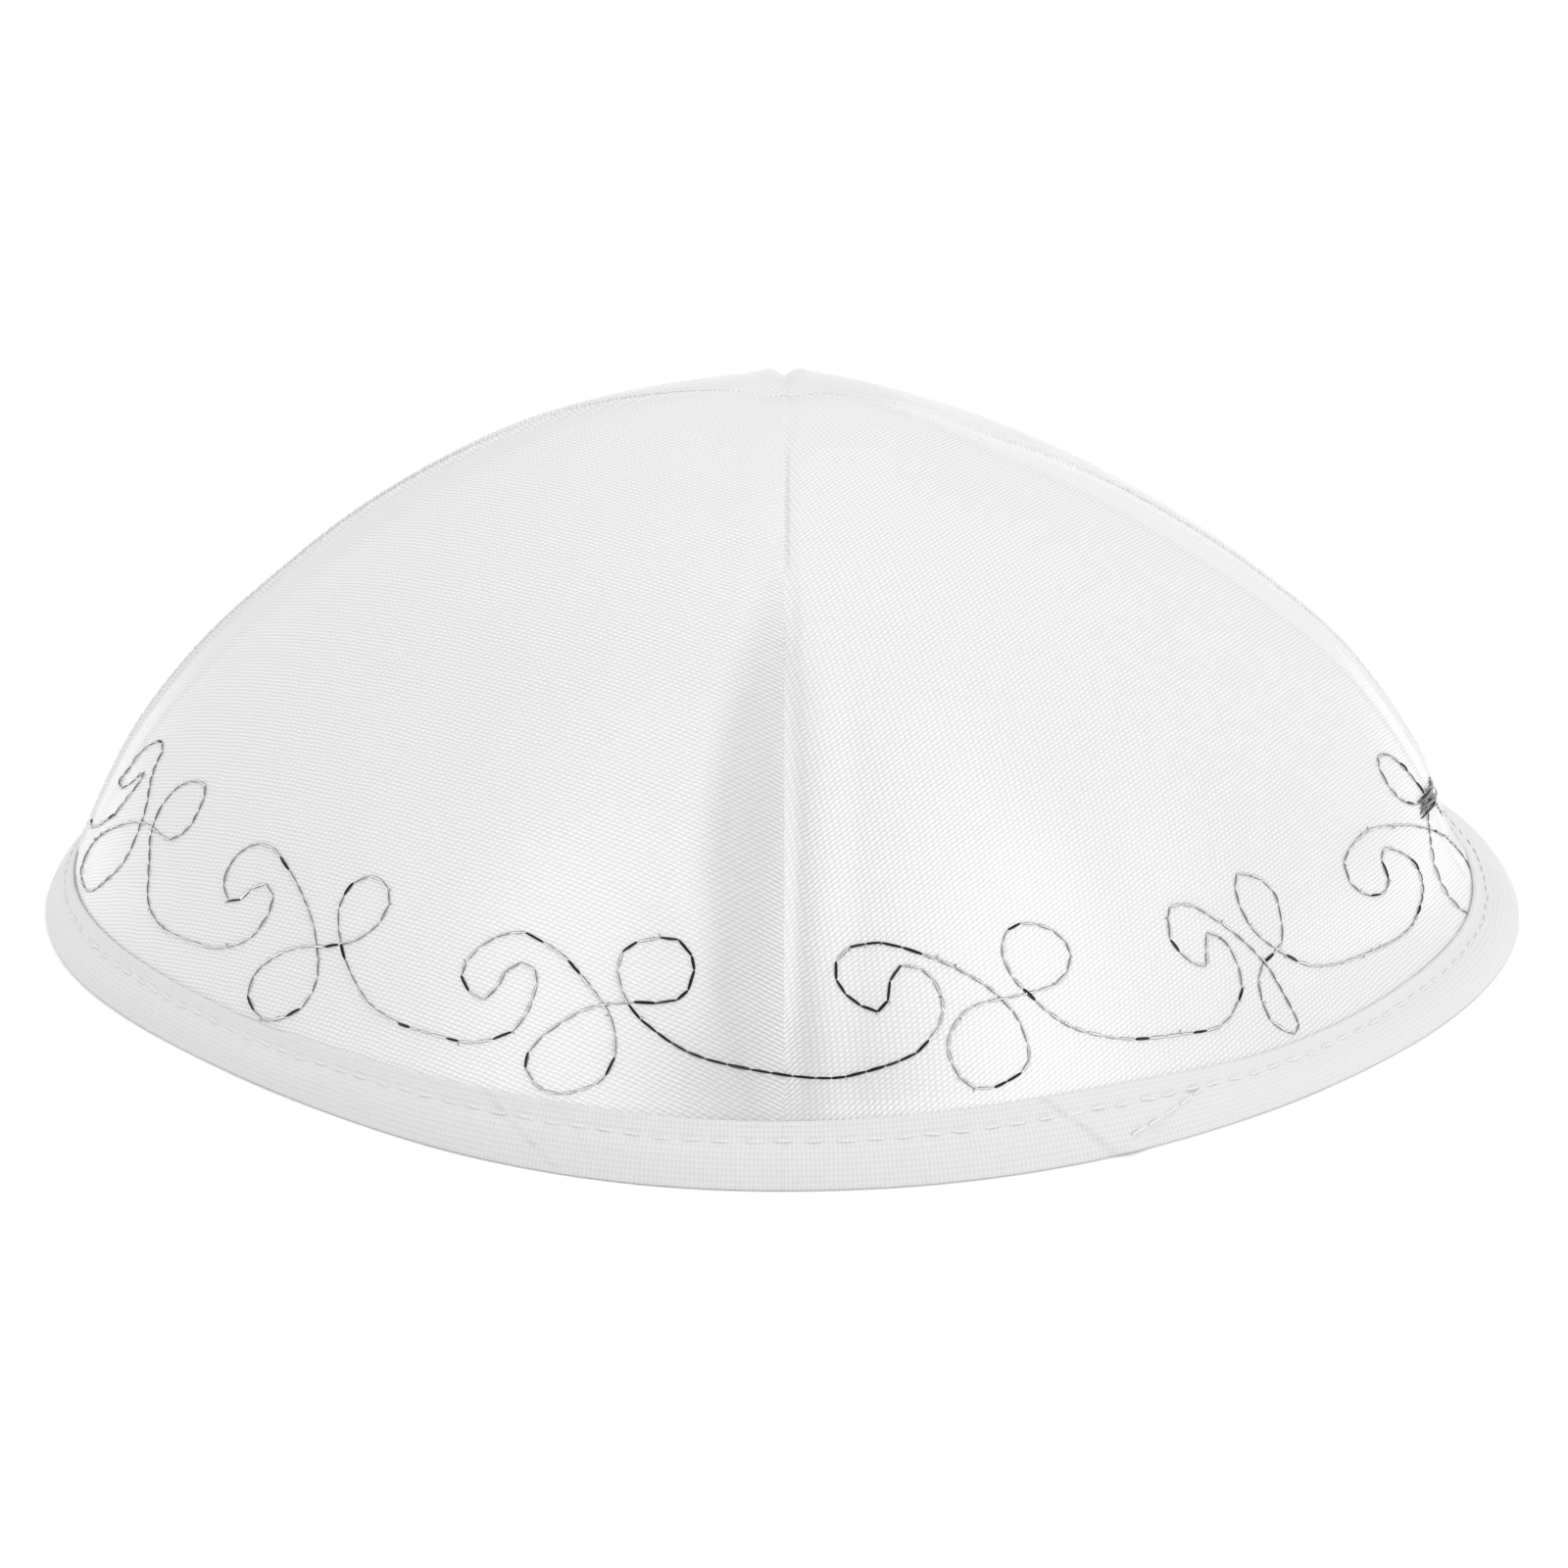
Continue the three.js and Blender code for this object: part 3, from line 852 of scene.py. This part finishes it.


# %% [markdown]
# ## The silver border
# One metallic thread runs round the whole cap in scrolls and loops, three of them on each gore.
# A machine lays it as straight stitches about two millimetres long, so its curves are many-sided.
# The table gives the curve of each motif on the front half, and the back half repeats them.
# Flat foil is wound round the thread's core, so each stitch is a little flattened and rolled its own way,
# and it flashes as it turns to or from the lights. Stitches that look dark are painted dark: a painted dark
# reflection, nearly all of them in front.

# %% The curve of the border: degrees round the cap, and millimetres above the rim
BORDER_MOTIFS = [
    [(-87.0, 10.0), (-80.7, 14.9), (-79.4, 17.5), (-78.4, 22.3), (-81.4, 18.4), (-83.3, 17.6), (-83.9, 18.2),
     (-83.1, 20.0), (-82.9, 22.1), (-82.0, 24.0), (-80.5, 25.5), (-78.4, 26.1), (-77.6, 24.7), (-77.0, 23.0),
     (-74.3, 19.8), (-73.2, 16.6), (-73.0, 15.2), (-73.0, 13.3), (-74.1, 10.8), (-77.0, 7.1), (-79.7, 6.4),
     (-82.2, 6.6), (-83.4, 7.9), (-82.8, 10.1), (-80.4, 13.0), (-77.6, 15.4), (-75.0, 17.3), (-72.0, 18.4),
     (-67.6, 18.6), (-66.2, 19.8), (-65.4, 21.8), (-66.1, 25.5), (-67.1, 26.1), (-69.0, 25.8), (-70.5, 24.6),
     (-71.5, 22.7), (-71.7, 20.8), (-71.4, 19.0), (-70.8, 17.7), (-68.0, 14.1), (-66.9, 12.2), (-65.4, 10.8),
     (-63.5, 10.0), (-62.2, 9.8)],
    [(-60.7, 9.9), (-55.3, 10.6), (-53.4, 11.5), (-52.0, 12.5), (-51.0, 13.7), (-50.3, 15.3), (-50.0, 16.8),
     (-50.1, 18.1), (-50.6, 19.0), (-51.4, 19.5), (-52.3, 19.5), (-53.0, 19.1), (-54.0, 17.0), (-54.7, 16.2),
     (-55.7, 16.1), (-56.7, 16.8), (-57.3, 18.0), (-57.5, 19.5), (-57.2, 21.0), (-56.5, 22.2), (-55.2, 23.2),
     (-53.9, 23.5), (-52.1, 23.1), (-48.6, 21.1), (-45.3, 18.4), (-44.0, 16.7), (-42.3, 13.5), (-42.0, 11.7),
     (-42.2, 9.9), (-42.8, 8.4), (-43.9, 7.2), (-45.3, 6.2), (-46.8, 6.0), (-48.3, 6.9), (-49.2, 8.0),
     (-49.2, 9.6), (-48.6, 11.2), (-47.4, 12.8), (-46.0, 14.1), (-44.4, 15.0), (-42.2, 15.7), (-40.8, 16.5),
     (-39.3, 17.4), (-38.1, 18.9), (-37.2, 20.6), (-37.1, 22.3), (-37.5, 23.4), (-38.2, 24.1), (-39.3, 24.6),
     (-40.8, 24.4), (-41.8, 23.3), (-42.3, 21.7), (-42.4, 20.0), (-41.9, 18.5), (-39.2, 14.5), (-36.7, 12.2),
     (-35.0, 11.2), (-31.7, 10.5)],
    [(-30.7, 10.6), (-25.4, 10.7), (-22.9, 11.9), (-21.4, 13.3), (-20.7, 15.3), (-20.4, 17.6), (-20.4, 18.9),
     (-20.7, 19.8), (-22.1, 20.3), (-23.1, 19.7), (-23.6, 18.6), (-23.9, 16.9), (-24.6, 15.7), (-25.3, 15.4),
     (-26.3, 15.9), (-27.3, 17.0), (-27.6, 18.3), (-26.4, 21.0), (-25.2, 22.3), (-23.9, 23.1), (-22.3, 23.5),
     (-18.9, 22.1), (-16.9, 20.4), (-14.1, 17.1), (-13.4, 15.5), (-12.9, 13.6), (-12.9, 11.9), (-13.4, 10.1),
     (-14.2, 9.0), (-15.3, 8.2), (-16.8, 7.5), (-18.5, 7.7), (-19.5, 8.7), (-20.1, 9.8), (-20.0, 11.1),
     (-19.2, 13.0), (-16.3, 16.3), (-14.6, 17.3), (-12.3, 18.0), (-9.2, 18.3), (-7.9, 19.2), (-7.4, 20.4),
     (-7.2, 22.2), (-7.8, 24.2), (-8.9, 25.2), (-10.4, 25.2), (-12.1, 24.6), (-13.2, 23.6), (-13.7, 22.2),
     (-13.5, 20.5), (-12.8, 18.6), (-11.9, 17.2), (-10.6, 15.8), (-6.6, 13.0), (-0.1, 11.3), (2.9, 10.9)],
    [(5.1, 11.1), (9.6, 12.7), (11.2, 14.3), (12.1, 15.7), (12.6, 18.2), (11.8, 21.1), (10.7, 22.1),
     (9.5, 22.4), (8.8, 22.0), (8.5, 21.1), (8.4, 19.6), (7.8, 17.8), (6.9, 17.7), (5.7, 18.6), (4.6, 20.0),
     (4.0, 21.9), (4.3, 23.4), (5.0, 24.4), (6.0, 24.8), (7.3, 24.9), (8.9, 24.7), (12.8, 22.5), (14.7, 20.9),
     (16.2, 19.4), (17.6, 17.4), (18.6, 15.2), (19.0, 12.6), (19.0, 11.1), (18.2, 9.7), (15.3, 8.4),
     (14.2, 8.8), (13.2, 10.1), (12.6, 12.2), (12.6, 14.1), (13.6, 16.1), (14.7, 17.1), (15.9, 17.5),
     (21.6, 17.9), (23.1, 18.6), (24.0, 19.7), (24.4, 21.1), (24.0, 22.8), (22.8, 24.3), (21.2, 25.1),
     (19.8, 25.2), (18.7, 24.3), (18.2, 22.4), (18.5, 20.3), (19.4, 18.3), (21.9, 14.5), (24.2, 12.5),
     (27.5, 10.9), (30.2, 10.2)],
    [(32.1, 9.9), (36.1, 9.2), (37.5, 9.4), (38.9, 10.2), (39.9, 11.5), (40.6, 12.8), (40.7, 16.0),
     (39.6, 18.6), (38.9, 19.1), (38.2, 19.3), (37.8, 18.5), (37.8, 16.3), (37.5, 15.9), (36.5, 16.1),
     (34.8, 18.7), (34.5, 20.5), (35.0, 22.0), (35.6, 23.2), (36.6, 23.2), (38.1, 22.5), (39.3, 21.1),
     (41.7, 17.8), (43.7, 14.2), (44.3, 12.7), (45.2, 8.6), (45.3, 6.3), (45.2, 5.5), (44.4, 5.7),
     (43.3, 6.5), (42.6, 7.6), (42.2, 8.8), (42.4, 12.2), (42.9, 13.5), (43.4, 14.0), (46.1, 15.0),
     (47.0, 16.1), (47.8, 19.7), (47.6, 21.4), (46.9, 22.6), (44.6, 24.2), (43.7, 23.6), (43.2, 22.1),
     (43.1, 20.3), (43.4, 18.4), (44.2, 16.8), (45.2, 15.4), (48.1, 12.4), (49.7, 11.4), (52.3, 10.6)],
    [(55.1, 10.1), (64.5, 9.1), (69.0, 10.3), (70.9, 11.3), (71.6, 12.7), (71.5, 14.2), (70.2, 16.1),
     (67.1, 18.6), (65.7, 18.6), (64.8, 17.5), (64.9, 15.3), (64.1, 14.7), (62.1, 14.8), (60.2, 15.7),
     (58.8, 17.1), (58.3, 18.8), (58.8, 20.2), (60.2, 21.0), (62.0, 21.5), (64.7, 21.7), (67.6, 21.1),
     (71.0, 19.7), (75.3, 17.5), (83.0, 12.4), (87.7, 8.0), (88.3, 5.3), (86.2, 4.2), (83.3, 3.8),
     (79.9, 3.9), (77.4, 4.7), (76.4, 6.1), (76.0, 8.3), (76.1, 12.4), (77.1, 13.8), (78.8, 15.4),
     (79.7, 16.7), (80.9, 17.8), (76.7, 19.7), (74.2, 21.9), (73.6, 23.7), (73.8, 25.6), (74.7, 26.9),
     (76.5, 26.8), (78.2, 25.9), (79.5, 24.2), (80.9, 21.6), (81.8, 18.8), (83.5, 17.0), (86.5, 14.0),
     (90.0, 11.5)],
]


# %% Carry the curve on round the back
BACK_REACH = 0.94         # the back half stays a little clear of the side seams
CURVE_STEPS = 10          # points of the curve for each one of the table


def smooth_round(control):
    """A curve through the points of one round of the cap, joined to its own start a full turn on."""
    start, end = control[:2] + (2 * math.pi, 0), control[-1:] - (2 * math.pi, 0)
    padded = np.concatenate([end, control, start])
    part = (np.arange(CURVE_STEPS) / CURVE_STEPS)[None, :, None]
    b, c, d, e = (padded[i:len(padded) - 3 + i, None, :] for i in range(4))
    curve = 2 * c + (d - b) * part + (2 * b - 5 * c + 4 * d - e) * part**2 + (3 * c - b - 3 * d + e) * part**3
    return 0.5 * curve.reshape(-1, 2)


front = np.array([point for motif in BORDER_MOTIFS for point in motif])
front[:, 0] = np.radians(front[:, 0])
back = front * (BACK_REACH, 1) + (math.pi, 0)
path = smooth_round(np.concatenate([front, back]))
on_cloth = cloth_point(path[:, 0], share_above_rim(path[:, 0], path[:, 1]))
run = np.concatenate([[0], np.cumsum(np.linalg.norm(np.diff(on_cloth, axis=0), axis=1))])
print("silver thread on the cloth, mm:", round(float(run[-1])))

# %% Cut the curve into stitches
BORDER_STITCH = 2.0
THREAD_WIDE, THREAD_THICK = 0.30, 0.20
THREAD_ABOVE = 0.02               # the needle holes lie this far above the cloth
TUFT_WIDE, TUFT_THICK = 0.15, 0.10
TUFT_SHARE = 0.16                 # of the needle holes have a broken end of foil standing out
# painted dark reflection: where round the front nearly every stitch is painted dark, and how many are elsewhere
PAINTED_DARK_FROM, PAINTED_DARK_TO = math.radians(-13), math.radians(11)
PAINTED_DARK_SHARE_IN_FRONT, PAINTED_DARK_SHARE_ELSEWHERE = 0.92, 0.09
chance = np.random.RandomState(12)


def cut(total):
    """Needle holes along the thread, each stitch a little longer or shorter than the last."""
    holes = [0.0]
    while holes[-1] < total - BORDER_STITCH:
        holes.append(holes[-1] + BORDER_STITCH * chance.uniform(0.72, 1.2))
    return np.array(holes + [total])


def stitch_painted_darkness(turn):
    """How dark a stitch is painted, standing in for the dark reflection of its foil. In front of the seam nearly
    every stitch is.
    """
    often = PAINTED_DARK_SHARE_IN_FRONT if PAINTED_DARK_FROM < signed_turn(turn) < PAINTED_DARK_TO else PAINTED_DARK_SHARE_ELSEWHERE
    return chance.uniform(0.85, 1.0) if chance.uniform() < often else chance.uniform(0.0, 0.25)


holes = cut(run[-1])
hole_turn, hole_rise = (np.interp(holes, run, path[:, axis]) for axis in (0, 1))
hole_share = share_above_rim(hole_turn, hole_rise)
low = cloth_point(hole_turn, hole_share, THREAD_ABOVE)
high = cloth_point(hole_turn, hole_share, THREAD_ABOVE + 1)
silver, painted_dark_reflection = [], []
for i in range(len(holes) - 1):
    up = high[i] - low[i] + high[i + 1] - low[i + 1]
    up /= np.linalg.norm(up)
    lift = chance.uniform(0.10, 0.18)
    roll = chance.uniform(-0.5, 0.5)
    wide = THREAD_WIDE * chance.uniform(0.85, 1.12)
    silver.append((low[i], low[i + 1], up, wide, THREAD_THICK, lift, roll))
    # how dark this stitch is painted, a painted dark reflection
    painted_dark_reflection.append(stitch_painted_darkness(hole_turn[i]))
    if chance.uniform() < TUFT_SHARE:
        sideways = np.cross(up, low[i + 1] - low[i])
        sideways *= chance.choice([-1, 1]) / np.linalg.norm(sideways)
        tip = low[i] + sideways * chance.uniform(0.28, 0.55) + up * chance.uniform(0.05, 0.2)
        silver.append((low[i] + up * 0.05, tip, up, TUFT_WIDE, TUFT_THICK, 0.0, roll))
        painted_dark_reflection.append(chance.uniform(0.0, 0.6))

# %% The loose tangle where the thread's end was caught at the right seam
TANGLE_TURN, TANGLE_RISE = math.radians(84), 16.8
TANGLE_WIDE, TANGLE_THICK = 0.26, 0.18
TANGLE_STRANDS = 16
for _ in range(TANGLE_STRANDS):
    ends = TANGLE_TURN + np.array([chance.uniform(-7, -1), chance.uniform(0, 6)]) * math.pi / 180
    rises = TANGLE_RISE + np.array([chance.uniform(0.2, 2.4), chance.uniform(-2.2, 0.6)])
    ends_on_cloth = cloth_point(ends, share_above_rim(ends, rises), np.array([0.1, 0.1]))
    outwards = cloth_point(ends, share_above_rim(ends, rises), 1.1).sum(0) - ends_on_cloth.sum(0)
    outwards /= np.linalg.norm(outwards)
    silver.append((*ends_on_cloth, outwards, TANGLE_WIDE, TANGLE_THICK, chance.uniform(0.2, 0.7), 0.0))
    painted_dark_reflection.append(chance.uniform(0.5, 1.0))


# %% [markdown]
# ## Silver foil
# Foil is bare metal, so nearly all that it shows is what it reflects. Fine turns of the wrap
# lie across each stitch, and the UV map gives the place along it and from side to side.
# Some stitches are painted nearly black, a painted dark reflection, and each stitch's two edges are painted
# darker, a painted shade along its sides.

# %% The silver
WRAP_PITCH = 0.35
THREAD_EDGE_PAINTED_SHADE = 0.25         # painted shade at the stitch's two edges
# the colour of a stitch painted fully dark, standing in for its foil's dark reflection
PAINTED_DARK_REFLECTION_TONE = 0.04


def make_silver():
    material, tree, shader = new_material("silver thread")
    along, aside = cloth_millimetres(tree)
    wrap = wave(tree, along, WRAP_PITCH)
    shade = ramp(tree, noise(tree, along, aside, 1.4), 0.35, 0.65, 0.78, 0.95)
    # painted shade along the stitch's two edges
    edge = ramp(tree, math_node(tree, "ABSOLUTE", aside), 0.45, 0.85, 1.0, THREAD_EDGE_PAINTED_SHADE)
    turned = tree.nodes.new("ShaderNodeAttribute")
    turned.attribute_name = "painted_dark_reflection"
    # painted dark reflection, read from the stitch's attribute
    painted_dark = ramp(tree, turned.outputs["Fac"], 0.2, 0.9, 1.0, PAINTED_DARK_REFLECTION_TONE)
    shade = math_node(tree, "MULTIPLY", math_node(tree, "MULTIPLY", shade, edge), painted_dark)
    paint(tree, shade, shader)
    shader.inputs["Metallic"].default_value = 1.0
    shader.inputs["Roughness"].default_value = 0.25
    bumped(tree, wrap, 0.04, 0.3, shader)
    return material


border = lay_stitches("silver_border", silver, make_silver())
keep = border.data.attributes.new("painted_dark_reflection", "FLOAT", "POINT")
keep.data.foreach_set("value", np.repeat(painted_dark_reflection, len(STITCH_POINTS)))

# %% [markdown]
# ## Stitches through the tape
# White thread holds the tape down about two millimetres below its upper edge, in stitches
# two millimetres long with a gap between, where the thread runs on the other side.

# %% The white thread
TWIST_PITCH = 0.4
THREAD_DARK, THREAD_PALE = 0.70, 0.80


def make_white_thread():
    material, tree, shader = new_material("white thread")
    twist = wave(tree, cloth_millimetres(tree)[0], TWIST_PITCH)
    paint(tree, ramp(tree, twist, -1, 1, THREAD_DARK, THREAD_PALE), shader)
    shader.inputs["Roughness"].default_value = 0.5
    shader.inputs["Sheen Weight"].default_value = 0.3
    bumped(tree, twist, 0.04, 0.5, shader)
    return material


# %% The tape's stitches
TAPE_STITCH = 2.0
STITCH_WIDE, STITCH_THICK, STITCH_LIFT = 0.30, 0.22, 0.06
# the second row, along the folded end: degrees round the cap, and millimetres above the rim
FLAP_STITCHES = [(25.0, 1.5), (26.6, 2.0), (28.2, 2.5), (29.9, 3.0), (31.5, 3.5), (33.0, 4.0)]


def on_tape(turn, rise, above=0.0):
    width = tape_width(turn)
    face = leaf_height(width - rise) + tape_relief(turn, rise, width) + joins_relief(turn, rise, width)
    return crown_point(turn, share_above_rim(turn, rise), face + above)


def tape_stitch(turns, rises):
    low, high = on_tape(turns, rises), on_tape(turns, rises, 1.0)
    up = high.sum(0) - low.sum(0)
    return low[0], low[1], up / np.linalg.norm(up), STITCH_WIDE, STITCH_THICK, STITCH_LIFT, 0.0


def tape_stitches():
    count = int(round(2 * math.pi * RIM_RADIUS / STITCH_PITCH))
    rows = []
    for i in range(count):
        middle = 2 * math.pi * (i + chance.uniform(-0.1, 0.1)) / count
        half = 0.5 * TAPE_STITCH * chance.uniform(0.85, 1.1) / RIM_RADIUS
        ends = np.array([middle - half, middle + half])
        uneven = np.array([chance.uniform(-0.12, 0.12), chance.uniform(-0.12, 0.12)])
        rows.append(tape_stitch(ends, STITCH_SHARE * tape_width(ends) + uneven))
    flap = np.array(FLAP_STITCHES)
    for before, after in zip(flap[:-1], flap[1:]):
        start, end = before + 0.12 * (after - before), after - 0.12 * (after - before)
        rows.append(tape_stitch(np.radians([start[0], end[0]]), np.array([start[1], end[1]])))
    return rows


stitches = lay_stitches("tape_stitches", tape_stitches(), make_white_thread())

# %% [markdown]
# ## Which piece stands for which solid
# Each soft piece replaces its plain solid, and all of them ride on the one body of the cap.
# The gores and the tape print the area of their cloth when they are laid.

# %% Bind the pieces to the frame
for piece, row in zip(gores, GORES):
    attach(piece, "root")
    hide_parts(row["node"])

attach(tape, "root")
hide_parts("rim_binding")

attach(border, "root")
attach(stitches, "root")

# %% [markdown]
# ## The floor and the lights
# A wide pale floor carries the cap. Large soft lights stand left, right and above. They light only
# the matte part of the cloth and are kept out of its gloss, where they would leave hot spots.
# What the satin mirrors is the room alone: pale all round, with a dim gap in front, where the camera
# stands, and paler walls beside the gap. Satin that faces forwards is then a shade darker than
# satin that turns to a side, which is what draws the folds along the front seam.

# %% The floor
deselect()
bpy.ops.mesh.primitive_plane_add(size=8)
floor = bpy.context.object
floor.name = "floor"
floor_material, _, floor_shader = new_material("pale floor")
floor_shader.inputs["Base Color"].default_value = (0.95, 0.95, 0.95, 1)
floor_shader.inputs["Roughness"].default_value = 0.9
floor.data.materials.append(floor_material)

# %% The lights
# name, where it stands, how wide and high it is, watts
LIGHTS = [
    ("left", (-1.2, -0.40, 0.60), (1.0, 0.9), 2.94),
    ("right", (1.15, -0.85, 0.45), (1.0, 0.9), 7.1),
    ("above", (0.0, 0.35, 1.3), (1.6, 1.2), 7.78),
]
AIM = np.array([0.0, 0.0, 0.03])
for name, place, (wide, high), watts in LIGHTS:
    data = bpy.data.lights.new("light_" + name, "AREA")
    data.shape = "RECTANGLE"
    data.size, data.size_y = wide, high
    data.energy = watts
    light = bpy.data.objects.new("light_" + name, data)
    bpy.context.scene.collection.objects.link(light)
    light.location = place
    light.visible_glossy = False
    x, y, z = AIM - np.array(place)
    light.rotation_euler = (math.atan2(math.hypot(x, y), -z), 0, math.atan2(y, x) - math.pi / 2)
print("lights:", [name for name, *_ in LIGHTS])

# %% The room: pale all round, with a dim gap in front where the camera stands
ROOM_LIGHT = 0.763
GAP_LIGHT = 0.03          # high in the gap
LOW_GAP_LIGHT = 0.225     # and low in it
# the gap's two sides, as the sideways part of a direction: dark to bright on the left, then on the right
HIGH_GAP = (-0.09, -0.17, 0.07, 0.13)
LOW_GAP = (-0.42, -0.58, 0.42, 0.58)
# the paler stretches of wall beside the gap: where each begins, where it ends, and how much paler it is
PALE_WALLS = [
    ((-0.12, -0.20), (-0.50, -0.34), 0.09),
    ((-0.34, -0.50), (-0.95, -0.75), 0.375),
    ((0.10, 0.18), (0.52, 0.36), 0.245),
    ((0.36, 0.52), (0.95, 0.75), 0.435),
]


def ramp_smooth(tree, value, low, high):
    """0 at low and 1 at high, smoothly between them."""
    return ramp(tree, value, low, high, kind="SMOOTHSTEP")


def beside_gap(tree, x, gap):
    """1 to the left and right of a gap, and 0 inside it."""
    left, right = ramp_smooth(tree, x, *gap[:2]), ramp_smooth(tree, x, *gap[2:])
    return math_node(tree, "MAXIMUM", left, right)


def make_room():
    world = bpy.data.worlds.new("room")
    bpy.context.scene.world = world
    world.use_nodes = True
    tree = world.node_tree
    way = tree.nodes.new("ShaderNodeTexCoord")
    apart = tree.nodes.new("ShaderNodeSeparateXYZ")
    tree.links.new(way.outputs["Generated"], apart.inputs[0])
    x, y, z = apart.outputs
    behind = ramp_smooth(tree, y, -0.02, 0.18)
    paler = 0.0
    for begins, ends, strength in PALE_WALLS:
        stretch = math_node(tree, "MULTIPLY", ramp_smooth(tree, x, *begins), ramp_smooth(tree, x, *ends))
        paler = math_node(tree, "MULTIPLY_ADD", stretch, strength, paler)
    in_front = math_node(tree, "MULTIPLY", ramp_smooth(tree, y, 0.02, -0.20), ramp_smooth(tree, z, 0.98, 0.80))
    walls = math_node(tree, "MULTIPLY_ADD", paler, in_front, ROOM_LIGHT)
    heights = []
    for gap, dim in ((HIGH_GAP, GAP_LIGHT), (LOW_GAP, LOW_GAP_LIGHT)):
        open_wall = math_node(tree, "MAXIMUM", beside_gap(tree, x, gap), behind)
        brighter = math_node(tree, "MULTIPLY", open_wall, math_node(tree, "SUBTRACT", walls, dim))
        heights.append(math_node(tree, "ADD", brighter, dim))
    high_light, low_light = heights
    raised = ramp_smooth(tree, z, 0.44, 0.60)
    change = math_node(tree, "MULTIPLY", raised, math_node(tree, "SUBTRACT", high_light, low_light))
    tree.links.new(math_node(tree, "ADD", low_light, change), tree.nodes["Background"].inputs["Strength"])
    tree.nodes["Background"].inputs["Color"].default_value = (1, 1, 1, 1)


make_room()
bpy.context.scene.view_settings.view_transform = "Standard"
